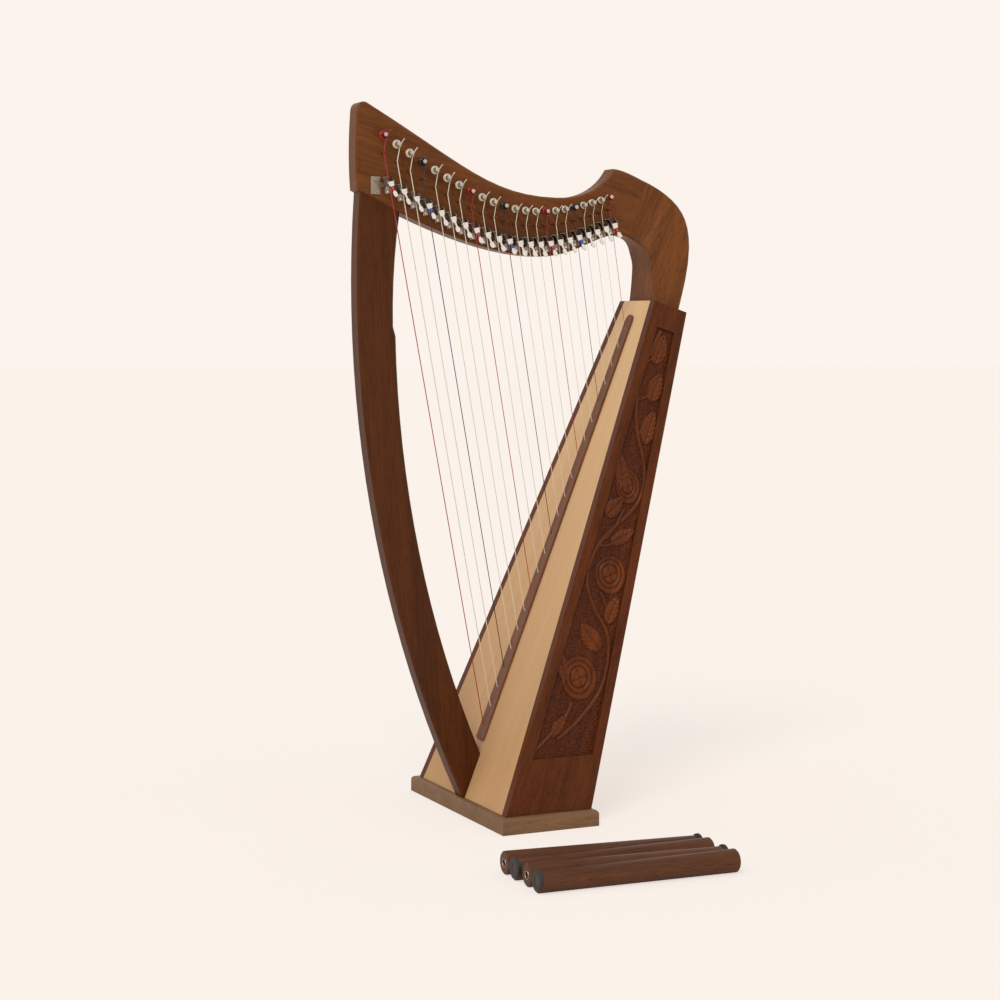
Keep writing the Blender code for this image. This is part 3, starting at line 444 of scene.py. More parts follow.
def wood_material(name, colour, turn, stretch, contrast=0.34, roughness=0.42, foot_colour=None, carved=False):
    """Lacquered wood: broad figure, long streaks and short dark pores that run along the grain.

    turn tilts the grain from upright, and stretch is how many times longer than wide its marks are."""
    material, tree, shader, place = new_material(name)
    shader.inputs["Specular IOR Level"].default_value = 0.12
    shader.inputs["Coat Weight"].default_value = 0.02
    shader.inputs["Coat Roughness"].default_value = 0.25
    lay = add_node(tree, "ShaderNodeMapping")
    lay.vector_type = "TEXTURE"
    lay.inputs["Rotation"].default_value = turn
    lay.inputs["Scale"].default_value = (1.0, 1.0, stretch)
    tree.links.new(place, lay.inputs["Vector"])
    figure = add_node(tree, "ShaderNodeTexNoise", Scale=38.0, Detail=5.0, Roughness=0.6, Distortion=0.8)
    streak = add_node(tree, "ShaderNodeTexNoise", Scale=260.0, Detail=3.0, Roughness=0.6)
    pores = add_node(tree, "ShaderNodeTexNoise", Scale=900.0, Detail=2.0)
    for texture in (figure, streak, pores):
        tree.links.new(lay.outputs["Vector"], texture.inputs["Vector"])
    blend = tree.nodes.new("ShaderNodeMix")
    blend.inputs[MIX_SHARE].default_value = STREAK_SHARE
    for texture, socket in zip((figure, streak), MIX_VALUES):
        tree.links.new(texture.outputs["Fac"], blend.inputs[socket])
    dark_band = [1 - contrast] * 3
    pale_band = [1 + contrast * PALE_SHARE] * 3
    pore_shade = [1 - contrast * PORE_SHARE] * 3
    bands = ramp(tree, blend.outputs[MIX_VALUE_OUT], (0.34, dark_band), (0.68, pale_band))
    specks = ramp(tree, pores.outputs["Fac"], (0.30, pore_shade), (0.46, [1.0] * 3))
    base = fade_up(tree, place, foot_colour, colour) if foot_colour else even_colour(tree, colour)
    finished = multiply(tree, base, multiply(tree, bands, specks))
    normal = bump(tree, pores.outputs["Fac"], 0.14, FINE_DEPTH)
    # A carving gets painted shade on its low parts, painted light on its high parts, and painted shade and
    # highlights in its punched dots.
    if carved:
        finished, normal = punched_ground_with_painted_shade(tree, place, finished, normal)
    tree.links.new(finished, shader.inputs["Base Color"])
    sheen = spread(tree, streak.outputs["Fac"], roughness - WOOD_SWAY, roughness + WOOD_SWAY)
    tree.links.new(sheen, shader.inputs["Roughness"])
    tree.links.new(normal, shader.inputs["Normal"])
    return material


def shared_finish(name, colour, roughness, **looks):
    """The plain finish of that name, made the first time it is asked for."""
    return bpy.data.materials.get(name) or plain_material(name, tuple(colour), roughness, **looks)


def string_finish(group):
    """Glossy drawn string in the colour of its group."""
    colour = getattr(bpy.context.scene.harp_colours, group)
    return shared_finish(f"{group} string", colour, 0.28, speckle=0.08, grain=400.0, coat=0.3)


def nickel_finish():
    """Polished nickel of the levers and the brackets' screws."""
    colour = bpy.context.scene.harp_colours.nickel
    return shared_finish("polished nickel", colour, 0.20, metallic=1.0, speckle=0.10, grain=500.0, dents=0.08)


def painted_dark_reflection_metal_finish():
    """Nickel with a dark colour as painted reflection, on the brackets, eyelets and inserts."""
    colour = bpy.context.scene.harp_colours.painted_dark_reflection_metal
    return shared_finish("darkened nickel", colour, 0.30, metallic=1.0, speckle=0.35, grain=420.0, dents=0.12)


def set_finish(item, material):
    """Gives an object one finish all over."""
    item.data.materials.clear()
    item.data.materials.append(material)


def deselect():
    """Leaves nothing selected, in object mode."""
    if bpy.context.object and bpy.context.object.mode != "OBJECT":
        bpy.ops.object.mode_set(mode="OBJECT")
    bpy.ops.object.select_all(action="DESELECT")


def select_only(item):
    """Leaves one object selected and active, in object mode."""
    deselect()
    item.select_set(True)
    bpy.context.view_layer.objects.active = item


def settle(item, name, body, material, smooth=40.0):
    """Names a finished piece, bakes its place into its mesh, and lets it ride on its body."""
    select_only(item)
    bpy.ops.object.transform_apply(location=True, rotation=True, scale=True)
    bpy.ops.object.mode_set(mode="EDIT")
    bpy.ops.mesh.select_all(action="SELECT")
    bpy.ops.mesh.remove_doubles(threshold=0.000002)
    bpy.ops.mesh.normals_make_consistent(inside=False)
    bpy.ops.object.mode_set(mode="OBJECT")
    bpy.ops.object.shade_smooth_by_angle(angle=math.radians(smooth))
    item.name = name
    item.data.name = name
    set_finish(item, material)
    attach(item, body)
    item.select_set(False)
    return item


def tube(runs):
    """A mesh of round strands, each run a list of points and a radius."""
    deselect()
    bpy.ops.curve.primitive_bezier_curve_add()
    curve = bpy.context.object.data
    curve.splines.clear()
    curve.dimensions = "3D"
    # A point's radius multiplies this depth, so its size doesn't matter.
    curve.bevel_depth = 0.001
    curve.bevel_resolution = 1
    curve.use_fill_caps = True
    for points, radius in runs:
        spline = curve.splines.new("POLY")
        spline.points.add(len(points) - 1)
        for target, point in zip(spline.points, points):
            target.co = (*point, 1.0)
            target.radius = radius / curve.bevel_depth
    bpy.ops.object.convert(target="MESH")
    return bpy.context.object


def merge(items):
    """Joins several objects into the first."""
    deselect()
    for item in items:
        item.select_set(True)
    bpy.context.view_layer.objects.active = items[0]
    bpy.ops.object.join()
    return bpy.context.object


def bevel_edges(item, width, segments=2):
    """Rounds an object's edges with a bevel that is applied."""
    select_only(item)
    bevel = item.modifiers.new("round", "BEVEL")
    bevel.width = width
    bevel.segments = segments
    bevel.limit_method = "ANGLE"
    bpy.ops.object.modifier_apply(modifier=bevel.name)


def add_cylinder(place, turn, radius, depth, sides=16):
    """A closed cylinder at its place, to be shaped further."""
    deselect()
    bpy.ops.mesh.primitive_cylinder_add(vertices=sides, radius=radius, depth=depth, location=place,
                                        rotation=turn)
    return bpy.context.object


def add_ring(place, turn, radius, wire, segments):
    """A ring of round wire at its place."""
    deselect()
    bpy.ops.mesh.primitive_torus_add(major_radius=radius, minor_radius=wire, major_segments=segments,
                                     minor_segments=8, location=place, rotation=turn)
    return bpy.context.object


def board_point(along, out=0.0):
    """A place on the soundboard's middle line."""
    place = BOARD_FOOT + along * BOARD_UP + out * BOARD_OUT
    return Vector((place.x, 0.0, place.y))


def string_radius(index):
    """Strings get thinner towards the treble."""
    return BASS_RADIUS + (TREBLE_RADIUS - BASS_RADIUS) * index / (STRING_COUNT - 1)


def pin_place(index):
    """Middle of a tuning pin in the neck."""
    return Vector(JOINTS[f"tuning_pin_{index + 1:02d}_turn"]["pos_m"])


def string_points(index):
    """A string from its tuning pin over its bridge pin, to the strip and its knot."""
    radius = string_radius(index)
    pin = pin_place(index)
    bridge = pin + Vector((BRIDGE_STEP, 0.0, BRIDGE_DROP_LOSS * index - BRIDGE_DROP))
    along = FIRST_STRING + STRING_PITCH * index
    return [Vector((pin.x + PIN_RADIUS + GAP + radius, -NECK_FACE - COIL_OFFSET, pin.z)),
            Vector((bridge.x - BRIDGE_RADIUS - GAP - radius, -NECK_FACE - STRING_OFFSET, bridge.z)),
            board_point(along, STRIP_THICK + BEND_HEIGHT),
            board_point(along, -BOARD_THICK - KNOT_DEPTH)]


def string_group(number):
    """Red marks C, dark marks F, and the rest are plain."""
    if number in RED_STRINGS:
        return "red"
    if number in DARK_STRINGS:
        return "dark"
    return "natural"


def lever_place(number):
    """A lever's pivot, and the direction down its string along the neck's face."""
    joint = JOINTS[f"lever_{number:02d}_flip"]
    return Vector(joint["pos_m"]), OUT.cross(Vector(joint["axis"]))


class HARP_OT_finishes(bpy.types.Operator):
    """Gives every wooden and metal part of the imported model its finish"""
    bl_idname = "harp.finishes"
    bl_label = "Finish wood and metal"

    def execute(self, context):
        colours = context.scene.harp_colours
        side = wood_material("carved walnut", colours.side, ALONG_BOARD, stretch=14.0, contrast=0.42)
        finishes = {
            "side_panel_left": side,
            "side_panel_right": side,
            "base_plate": wood_material("base walnut", colours.base, LEVEL, stretch=12.0, contrast=0.3),
            "neck": wood_material("neck walnut", colours.neck, ALONG_NECK, stretch=12.0, contrast=0.4),
            "shoulder_block": wood_material("shoulder walnut", colours.neck, ALONG_BOARD, stretch=12.0,
                                            contrast=0.42),
            "pillar": wood_material("pillar walnut", colours.pillar, UP_PILLAR, stretch=16.0, contrast=0.42),
            "string_strip": wood_material("strip walnut", colours.strip, ALONG_BOARD, stretch=14.0),
            "top_block": wood_material("block walnut", colours.side, ALONG_BOARD, stretch=10.0,
                                       roughness=0.6),
            "soundboard": wood_material("soundboard spruce", colours.board_top, ALONG_BOARD, stretch=40.0,
                                        contrast=0.07, roughness=0.5, foot_colour=colours.board_foot),
            "back_panel": wood_material("back maple", colours.board_foot, ALONG_BOARD, stretch=30.0,
                                        contrast=0.1),
        }
        for number in range(1, len(LEG_PLACES) + 1):
            finishes[f"leg_{number}"] = wood_material(f"leg walnut {number}", colours.leg, LEVEL,
                                                      stretch=18.0, contrast=0.4)
        pin_finish = shared_finish("pin nickel", colours.pin_metal, 0.25, metallic=1.0, speckle=0.2,
                                   grain=500.0)
        for name in frame["nodes"]:
            if name == "lever_brackets":
                finishes[name] = painted_dark_reflection_metal_finish()
            elif name.startswith("lever"):
                finishes[name] = nickel_finish()
            elif name.startswith("tuning_pin"):
                finishes[name] = pin_finish
        for name, material in finishes.items():
            set_finish(frame["nodes"][name], material)
        return {"FINISHED"}


class HARP_OT_strings(bpy.types.Operator):
    """Adds the strings in their three colours"""
    bl_idname = "harp.strings"
    bl_label = "Strings"

    def execute(self, context):
        for group in ("natural", "red", "dark"):
            runs = [(string_points(index), string_radius(index)) for index in range(STRING_COUNT)
                    if string_group(index + 1) == group]
            item = settle(tube(runs), f"strings_{group}", "harp", string_finish(group))
            if group == "natural":
                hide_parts("strings")
        return {"FINISHED"}


class HARP_OT_knot_rail(bpy.types.Operator):
    """Adds the rail behind the soundboard that the strings' knots bear on"""
    bl_idname = "harp.knot_rail"
    bl_label = "Knot rail"

    def execute(self, context):
        low = board_point(FIRST_STRING - RAIL_MARGIN, -BOARD_THICK - KNOT_DEPTH)
        high = board_point(RAIL_END, -BOARD_THICK - KNOT_DEPTH)
        deselect()
        bpy.ops.mesh.primitive_cube_add(size=1.0, location=(low + high) / 2, rotation=ALONG_BOARD)
        rail = context.object
        rail.scale = (RAIL_THICK, RAIL_WIDTH, (high - low).length)
        bpy.ops.object.transform_apply(location=False, rotation=False, scale=True)
        bevel_edges(rail, RAIL_ROUND)
        finish = wood_material("rail wood", context.scene.harp_colours.strip, ALONG_BOARD, stretch=14.0)
        settle(rail, "knot_rail", "harp", finish)
        return {"FINISHED"}


def coil_points(index, turns, loose_end):
    """A coil wound out along its tuning pin and back over itself, with its loose end."""
    radius = string_radius(index)
    pin = pin_place(index)
    face = -NECK_FACE - COIL_OFFSET
    pitch = COIL_PITCH * radius
    points = []
    for layer in (INNER_LAYER, OUTER_LAYER):
        reach = PIN_RADIUS + GAP + layer * radius
        for step in range(turns * COIL_STEPS + 1):
            angle = 2 * math.pi * step / COIL_STEPS
            shift = pitch * step / COIL_STEPS
            if layer == OUTER_LAYER:
                shift = pitch * turns - shift
            points.append(Vector((pin.x + reach * math.cos(angle), face + shift,
                                  pin.z + reach * math.sin(angle))))
    last = points[-1]
    points += [last + Vector((across, along, rise * loose_end)) for across, along, rise in LOOSE_END]
    return points


class HARP_OT_coils(bpy.types.Operator):
    """Winds each string's coil on its tuning pin, with its loose end"""
    bl_idname = "harp.coils"
    bl_label = "String coils"

    def execute(self, context):
        sizes = context.scene.harp_sizes
        for index in range(STRING_COUNT):
            coil = tube([(coil_points(index, sizes.coil_turns, sizes.loose_end), string_radius(index))])
            settle(coil, f"coil_{index + 1:02d}", f"tuning_pin_{index + 1:02d}",
                   string_finish(string_group(index + 1)), smooth=60.0)
        return {"FINISHED"}


class HARP_OT_eyelets(bpy.types.Operator):
    """Adds the eyelets that the strings pass through in their strip"""
    bl_idname = "harp.eyelets"
    bl_label = "Eyelets"

    def execute(self, context):
        facing = (0.0, BOARD_LEAN - math.radians(90.0), 0.0)
        radius = context.scene.harp_sizes.eyelet
        eyelets = []
        for index in range(STRING_COUNT):
            place = board_point(FIRST_STRING + STRING_PITCH * index, STRIP_THICK)
            eyelets.append(add_ring(place, facing, radius, EYELET_WIRE, segments=16))
        settle(merge(eyelets), "strip_eyelets", "harp", painted_dark_reflection_metal_finish())
        return {"FINISHED"}


class HARP_OT_bracket_screws(bpy.types.Operator):
    """Adds the screw at the foot of each lever's bracket"""
    bl_idname = "harp.bracket_screws"
    bl_label = "Bracket screws"

    def execute(self, context):
        facing = (math.radians(90.0), 0.0, 0.0)
        radius = context.scene.harp_sizes.screw
        screws = []
        for number in range(1, STRING_COUNT + 1):
            pivot, down = lever_place(number)
            place = pivot + (SCREW_DOWN - PIVOT_DOWN) * down - (PIVOT_OUT - SCREW_OUT) * OUT
            screw = add_cylinder(place, facing, radius, SCREW_DEPTH)
            bevel_edges(screw, SCREW_ROUND)
            screws.append(screw)
        settle(merge(screws), "bracket_screws", "harp", nickel_finish())
        return {"FINISHED"}


class HARP_OT_lever_sleeves(bpy.types.Operator):
    """Adds the coloured sleeves on the handles of the C and F levers"""
    bl_idname = "harp.lever_sleeves"
    bl_label = "Lever sleeves"

    def execute(self, context):
        for number in sorted(RED_STRINGS + DARK_STRINGS):
            pivot, down = lever_place(number)
            run = math.sin(HANDLE_ANGLE) * down + math.cos(HANDLE_ANGLE) * OUT
            sleeve = add_cylinder(pivot + SLEEVE_PLACE * run, run.to_track_quat("Z", "Y").to_euler(),
                                  context.scene.harp_sizes.sleeve, SLEEVE_LENGTH)
            bevel_edges(sleeve, SLEEVE_ROUND)
            shade = "red" if number in RED_STRINGS else "blue"
            finish = shared_finish(f"{shade} sleeve", getattr(context.scene.harp_colours, shade), 0.35)
            settle(sleeve, f"lever_sleeve_{number:02d}", f"lever_{number:02d}", finish)
        return {"FINISHED"}


def front_edge(z):
    """The side panel's front edge at a height."""
    return BOARD_FOOT.x + BOARD_SLOPE * (z - BASE_THICK)


def back_edge(z):
    """The side panel's back edge at a height."""
    return BACK_FOOT_X + BACK_SLOPE * (z - BASE_THICK)


def place_at(z, share):
    """A place on the side panel at a height and a share of the way from front to back."""
    return (front_edge(z) + share * (back_edge(z) - front_edge(z)), z)


def leaf(x, z, middle, length, width, angle):
    """Height of a pointed leaf with a sunk midrib and side veins; angle turns its tip from straight up."""
    along = (x - middle[0]) * math.sin(angle) + (z - middle[1]) * math.cos(angle)
    across = (x - middle[0]) * math.cos(angle) - (z - middle[1]) * math.sin(angle)
    u = np.clip(2 * along / length, -1.0, 1.0)
    half = width / 2 * (1 - u ** 2) ** LEAF_POINT * (1 - LEAF_TAPER * u) + 1e-6
    inside = (np.abs(2 * along / length) < 1) & (np.abs(across) < half)
    v = np.clip(np.abs(across) / half, 0.0, 1.0)
    dome = LEAF_EDGE + LEAF_DOME * np.sqrt(1 - v ** 2)
    midrib = MIDRIB_DEPTH * np.exp(-(across / MIDRIB_WIDTH) ** 2)
    wave = np.cos(2 * math.pi * (along - VEIN_SLANT * np.abs(across)) / VEIN_PITCH)
    veins = VEIN_DEPTH * (0.5 + 0.5 * wave) ** 4
    return np.where(inside, np.clip(dome - midrib - veins * (v > VEIN_START), LEAF_LOW, 1.0), 0.0)


def bloom(x, z, middle, radius, tall):
    """Height of a round rose bloom: an outer petal ring, an inner ring and a crossed heart."""
    dx = (x - middle[0]) / radius
    dz = (z - middle[1]) / (radius * tall)
    reach = np.sqrt(dx ** 2 + dz ** 2)
    inside = reach < 1
    dome = BLOOM_EDGE + BLOOM_DOME * np.sqrt(np.clip(1 - reach ** 2, 0, 1))
    height = np.where(inside, dome, 0.0)
    turn = np.arctan2(dz, dx)
    for ring, width, depth in PETAL_GROOVES:
        groove = np.exp(-((reach - ring - PETAL_SWAY * np.sin(turn - PETAL_TURN)) / width) ** 2)
        height = height - depth * groove * inside
    hatch = (np.exp(-(np.sin(HATCH_ACROSS * dx + HATCH_SLANT * dz) / HATCH_WIDTH) ** 2)
             + np.exp(-(np.sin(HATCH_ACROSS * dz - HATCH_SLANT * dx) / HATCH_WIDTH) ** 2))
    heart = np.clip(height - HATCH_DEPTH * hatch, HEART_LOW, 1.0)
    petals = np.clip(height, PETAL_LOW, 1.0) * inside
    return np.where(reach < HEART_RADIUS, heart, petals)


def stem(x, z, points, radius):
    """Height of a rounded stem along a run of points."""
    nearest = np.full(x.shape, 1.0)
    for (ax, az), (bx, bz) in zip(points, points[1:]):
        length = (bx - ax) ** 2 + (bz - az) ** 2
        share = np.clip(((x - ax) * (bx - ax) + (z - az) * (bz - az)) / length, 0, 1)
        gap = np.hypot(x - ax - share * (bx - ax), z - az - share * (bz - az))
        nearest = np.minimum(nearest, gap)
    return STEM_HEIGHT * np.sqrt(np.clip(1 - (nearest / radius) ** 2, 0, 1))


def smooth_run(points, steps=8):
    """A smooth curve through points."""
    full = [points[0], *points, points[-1]]
    run = []
    for a, b, c, d in zip(full, full[1:], full[2:], full[3:]):
        for step in range(steps):
            t = step / steps
            run.append(tuple(
                0.5 * (2 * b[k] + (c[k] - a[k]) * t + (2 * a[k] - 5 * b[k] + 4 * c[k] - d[k]) * t * t
                       + (3 * b[k] - a[k] - 3 * c[k] + d[k]) * t ** 3)
                for k in (0, 1)))
    return run + [points[-1]]


def carving_height(x, z):
    """Height of the carving from 0, its ground, to 1."""
    height = GROUND_ROUGHNESS * (0.5 + 0.5 * np.sin(x * GROUND_WAVES[0]) * np.sin(z * GROUND_WAVES[1]))
    for run, radius in STEMS:
        height = np.maximum(height, stem(x, z, smooth_run([place_at(*point) for point in run]), radius))
    for rise, share, length, width, turn in LEAVES:
        height = np.maximum(height, leaf(x, z, place_at(rise, share), length, width, math.radians(turn)))
    for rise, share, radius, tall in BLOOMS:
        height = np.maximum(height, bloom(x, z, place_at(rise, share), radius, tall))
    return height


def field_x(z, share):
    """The x of a place in the sunk field, at a height and a share of the way across it."""
    left = front_edge(z) + FIELD_FRONT / math.cos(BOARD_LEAN) + RELIEF_MARGIN
    right = back_edge(z) - (FIELD_BACK * math.hypot(1.0, BACK_SLOPE) + RELIEF_MARGIN)
    return left + share * (right - left)


def field_places(share, rise):
    """The x and z of places in the sunk field, by their shares across and up.

    The field's top edge slopes with the box's head, so each column of the grid ends at its own height."""
    foot = BASE_THICK + FIELD_FOOT + RELIEF_MARGIN
    top_line = BOX_HEAD.y - FIELD_TOP - RELIEF_MARGIN
    top = np.full(share.shape, top_line)
    for _ in range(HEAD_ROUNDS):
        top = top_line - HEAD_SLOPE * (field_x(top, share) - BOX_HEAD.x)
    z = foot + rise * (top - foot)
    return field_x(z, share), z


def add_relief(side, relief):
    """The carving of one side as a closed sheet, with its height kept as a point attribute."""
    deselect()
    bpy.ops.mesh.primitive_grid_add(x_subdivisions=RELIEF_COLUMNS, y_subdivisions=RELIEF_ROWS, size=1.0)
    item = bpy.context.object
    count = len(item.data.vertices)
    flat = np.empty(count * 3)
    item.data.vertices.foreach_get("co", flat)
    share = flat[0::3] + 0.5
    rise = flat[1::3] + 0.5
    x, z = field_places(share, rise)
    edge = (np.minimum(share, rise) < RELIEF_EDGE) | (np.maximum(share, rise) > 1 - RELIEF_EDGE)
    height = np.where(edge, 0.0, carving_height(x, z))
    floor = BOX_HALF_WIDTH - SIDE_TAPER * (z - BASE_THICK) - FIELD_DEPTH
    placed = np.stack([x, side * (floor + RELIEF_LIFT + height * relief), z], axis=1)
    item.data.vertices.foreach_set("co", placed.ravel())
    item.data.update()
    bpy.ops.object.mode_set(mode="EDIT")
    bpy.ops.mesh.select_mode(type="EDGE")
    bpy.ops.mesh.select_all(action="SELECT")
    bpy.ops.mesh.region_to_loop()
    bpy.ops.mesh.extrude_edges_move(TRANSFORM_OT_translate={"value": (0.0, -side * RELIEF_BACK, 0.0)})
    bpy.ops.mesh.edge_face_add()
    bpy.ops.object.mode_set(mode="OBJECT")
    values = np.zeros(len(item.data.vertices))
    values[:count] = height
    item.data.attributes.new("carved_height", "FLOAT", "POINT").data.foreach_set("value", values)
    return item


class HARP_OT_carving(bpy.types.Operator):
    """Carves rose blooms, leaves and their stem in the sunk field of each side panel"""
    bl_idname = "harp.carving"
    bl_label = "Carved sides"

    def execute(self, context):
        relief = context.scene.harp_sizes.relief
        # The carving's finish paints shade on its low parts and light on its high parts.
        finish = wood_material("carved relief", context.scene.harp_colours.side, ALONG_BOARD, stretch=14.0,
                               contrast=0.42, carved=True)
        for name, side in (("carving_left", -1.0), ("carving_right", 1.0)):
            settle(add_relief(side, relief), name, "harp", finish, smooth=75.0)
        return {"FINISHED"}


def leg_place(number):
    """A loose leg's screw end, the direction of its foot, and the turn of a round piece on it."""
    x, y, heading = LEG_PLACES[number - 1]
    turn = math.radians(heading)
    run = Vector((math.cos(turn), math.sin(turn), 0.0))
    return Vector((x, y, LEG_HEIGHT)), run, run.to_track_quat("Z", "Y").to_euler()


class HARP_OT_rubber_feet(bpy.types.Operator):
    """Adds the rubber foot of each loose leg, with a dimple in its middle"""
    bl_idname = "harp.rubber_feet"
    bl_label = "Rubber feet"

    def execute(self, context):
        depth = context.scene.harp_sizes.rubber_depth
        colour = context.scene.harp_colours.rubber
        rubber = shared_finish("black rubber", colour, 0.6, speckle=0.25, grain=600.0, dents=0.2)
        for number in range(1, len(LEG_PLACES) + 1):
            start, run, facing = leg_place(number)
            place = start + (LEG_LENGTH - depth / 2 + RUBBER_OVERHANG) * run
            pad = add_cylinder(place, facing, LEG_FOOT_RADIUS + RUBBER_PROUD, depth, sides=RUBBER_SIDES)
            bpy.ops.object.mode_set(mode="EDIT")
            bpy.ops.mesh.select_mode(type="FACE")
            bpy.ops.mesh.select_all(action="DESELECT")
            bpy.ops.object.mode_set(mode="OBJECT")
            max(pad.data.polygons, key=lambda face: face.center.z).select = True
            bpy.ops.object.mode_set(mode="EDIT")
            bpy.ops.mesh.inset(thickness=RUBBER_RIM)
            bpy.ops.mesh.extrude_region_move(TRANSFORM_OT_translate={"value": tuple(-RUBBER_DIMPLE * run)})
            bpy.ops.object.mode_set(mode="OBJECT")
            bevel_edges(pad, RUBBER_ROUND, 3)
            settle(pad, f"rubber_foot_{number}", f"leg_{number}", rubber)
        return {"FINISHED"}


class HARP_OT_screw_inserts(bpy.types.Operator):
    """Adds the metal ring round the screw hole of each loose leg"""
    bl_idname = "harp.screw_inserts"
    bl_label = "Screw inserts"

    def execute(self, context):
        for number in range(1, len(LEG_PLACES) + 1):
            start, _, facing = leg_place(number)
            ring = add_ring(start, facing, INSERT_RADIUS, INSERT_WIRE, segments=28)
            settle(ring, f"screw_insert_{number}", f"leg_{number}", painted_dark_reflection_metal_finish())
        return {"FINISHED"}


def mix_shaders(tree, share, first, second, out):
    """Joins two shaders by a share and sends them to the output."""
    mix = tree.nodes.new("ShaderNodeMixShader")
    tree.links.new(share, mix.inputs["Fac"])
    tree.links.new(first, mix.inputs[1])
    tree.links.new(second, mix.inputs[2])
    tree.links.new(mix.outputs["Shader"], out.inputs["Surface"])


def add_floor(colour):
    """A wide matt floor that keeps the object's shadow and is pale to the camera."""
    bpy.ops.mesh.primitive_plane_add(size=FLOOR_SIZE, location=(0.0, 0.0, -FLOOR_DROP))
    floor = bpy.context.object
    floor.name = "floor"
    material = bpy.data.materials.new("pale floor")
    material.use_nodes = True
    tree = material.node_tree
    tree.nodes.clear()
    out = tree.nodes.new("ShaderNodeOutputMaterial")
    matt = add_node(tree, "ShaderNodeBsdfDiffuse", Color=colour)
    glow = add_node(tree, "ShaderNodeEmission", Color=colour)
    path = tree.nodes.new("ShaderNodeLightPath")
    share = tree.nodes.new("ShaderNodeMath")
    share.operation = "MULTIPLY"
    share.inputs[1].default_value = FLOOR_GLOW
    tree.links.new(path.outputs["Is Camera Ray"], share.inputs[0])
    mix_shaders(tree, share.outputs["Value"], matt.outputs["BSDF"], glow.outputs["Emission"], out)
    set_finish(floor, material)


def add_sky(colour):
    """An even soft sky that the camera and reflections see in the backdrop's colour."""
    world = bpy.data.worlds.new("studio")
    bpy.context.scene.world = world
    world.use_nodes = True
    tree = world.node_tree
    tree.nodes.clear()
    out = tree.nodes.new("ShaderNodeOutputWorld")
    light = add_node(tree, "ShaderNodeBackground", Color=SKY_COLOUR, Strength=SKY_STRENGTH)
    seen = add_node(tree, "ShaderNodeBackground", Color=colour)
    path = tree.nodes.new("ShaderNodeLightPath")
    either = tree.nodes.new("ShaderNodeMath")
    either.operation = "MAXIMUM"
    tree.links.new(path.outputs["Is Camera Ray"], either.inputs[0])
    tree.links.new(path.outputs["Is Glossy Ray"], either.inputs[1])
    mix_shaders(tree, either.outputs["Value"], light.outputs["Background"], seen.outputs["Background"], out)


def add_lamp():
    """One wide soft lamp from the upper left."""
    bpy.ops.object.light_add(type="SUN", location=LAMP_PLACE)
    lamp = bpy.context.object
    lamp.name = "key_light"
    lamp.data.energy = LAMP_STRENGTH
    lamp.data.angle = LAMP_SPREAD
    lamp.rotation_euler = LAMP_AIM.to_track_quat("-Z", "Y").to_euler()


def add_camera():
    """The camera at the photograph's place, turn, tilt and roll."""
    level = math.cos(CAMERA_PITCH)
    forward = Vector((math.sin(CAMERA_YAW) * level, math.cos(CAMERA_YAW) * level, math.sin(CAMERA_PITCH)))
    right = Vector((math.cos(CAMERA_YAW), -math.sin(CAMERA_YAW), 0.0))
    up = right.cross(forward)
    across = right * math.cos(CAMERA_ROLL) + up * math.sin(CAMERA_ROLL)
    above = up * math.cos(CAMERA_ROLL) - right * math.sin(CAMERA_ROLL)
    bpy.ops.object.camera_add()
    camera = bpy.context.object
    camera.name = "photo_camera"
    camera.matrix_world = Matrix((
        (across.x, above.x, -forward.x, CAMERA_PLACE.x),
        (across.y, above.y, -forward.y, CAMERA_PLACE.y),
        (across.z, above.z, -forward.z, CAMERA_PLACE.z),
        (0.0, 0.0, 0.0, 1.0)))
    camera.data.lens = CAMERA_LENS
    camera.data.sensor_width = CAMERA_SENSOR
    camera.data.sensor_fit = "HORIZONTAL"
    bpy.context.scene.camera = camera


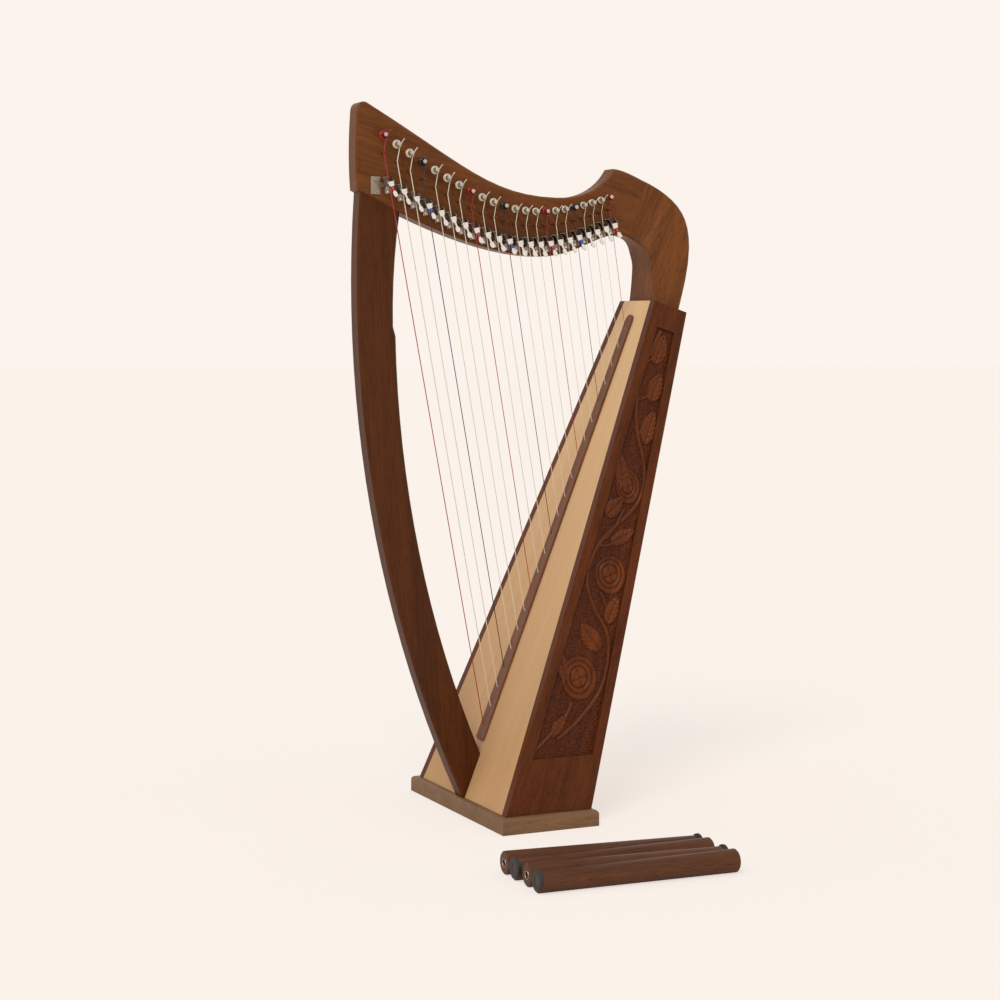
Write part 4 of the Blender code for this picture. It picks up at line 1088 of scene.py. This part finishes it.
class HARP_OT_stage(bpy.types.Operator):
    """Adds the pale floor, the lights and the camera"""
    bl_idname = "harp.stage"
    bl_label = "Stage, lights and camera"

    def execute(self, context):
        backdrop = (*context.scene.harp_colours.backdrop, 1.0)
        deselect()
        add_floor(backdrop)
        add_sky(backdrop)
        add_lamp()
        add_camera()
        context.scene.view_settings.view_transform = "Standard"
        return {"FINISHED"}


OPERATORS = (HARP_OT_finishes, HARP_OT_strings, HARP_OT_knot_rail, HARP_OT_coils, HARP_OT_eyelets,
             HARP_OT_bracket_screws, HARP_OT_lever_sleeves, HARP_OT_carving, HARP_OT_rubber_feet,
             HARP_OT_screw_inserts, HARP_OT_stage)


class HARP_PT_panel(bpy.types.Panel):
    """Lists the harp's pieces and settings"""
    bl_label = "Lever Harp"
    bl_idname = "HARP_PT_panel"
    bl_space_type = "VIEW_3D"
    bl_region_type = "UI"
    bl_category = "Harp"

    def draw(self, context):
        layout = self.layout
        for operator in OPERATORS:
            layout.operator(operator.bl_idname)
        for group in (context.scene.harp_sizes, context.scene.harp_colours):
            box = layout.box()
            for name in group.__annotations__:
                box.prop(group, name)


CLASSES = (HarpColours, HarpSizes, *OPERATORS, HARP_PT_panel)


def register():
    """Makes the classes known to Blender."""
    for item in CLASSES:
        bpy.utils.register_class(item)
    bpy.types.Scene.harp_colours = bpy.props.PointerProperty(type=HarpColours)
    bpy.types.Scene.harp_sizes = bpy.props.PointerProperty(type=HarpSizes)


def unregister():
    """Takes the classes away again."""
    del bpy.types.Scene.harp_sizes
    del bpy.types.Scene.harp_colours
    for item in reversed(CLASSES):
        bpy.utils.unregister_class(item)


def main():
    """Builds everything in order."""
    register()
    deselect()
    bpy.ops.harp.finishes()
    bpy.ops.harp.strings()
    bpy.ops.harp.knot_rail()
    bpy.ops.harp.coils()
    bpy.ops.harp.eyelets()
    bpy.ops.harp.bracket_screws()
    bpy.ops.harp.lever_sleeves()
    bpy.ops.harp.carving()
    bpy.ops.harp.rubber_feet()
    bpy.ops.harp.screw_inserts()
    bpy.ops.harp.stage()


if __name__ == "__main__":
    main()
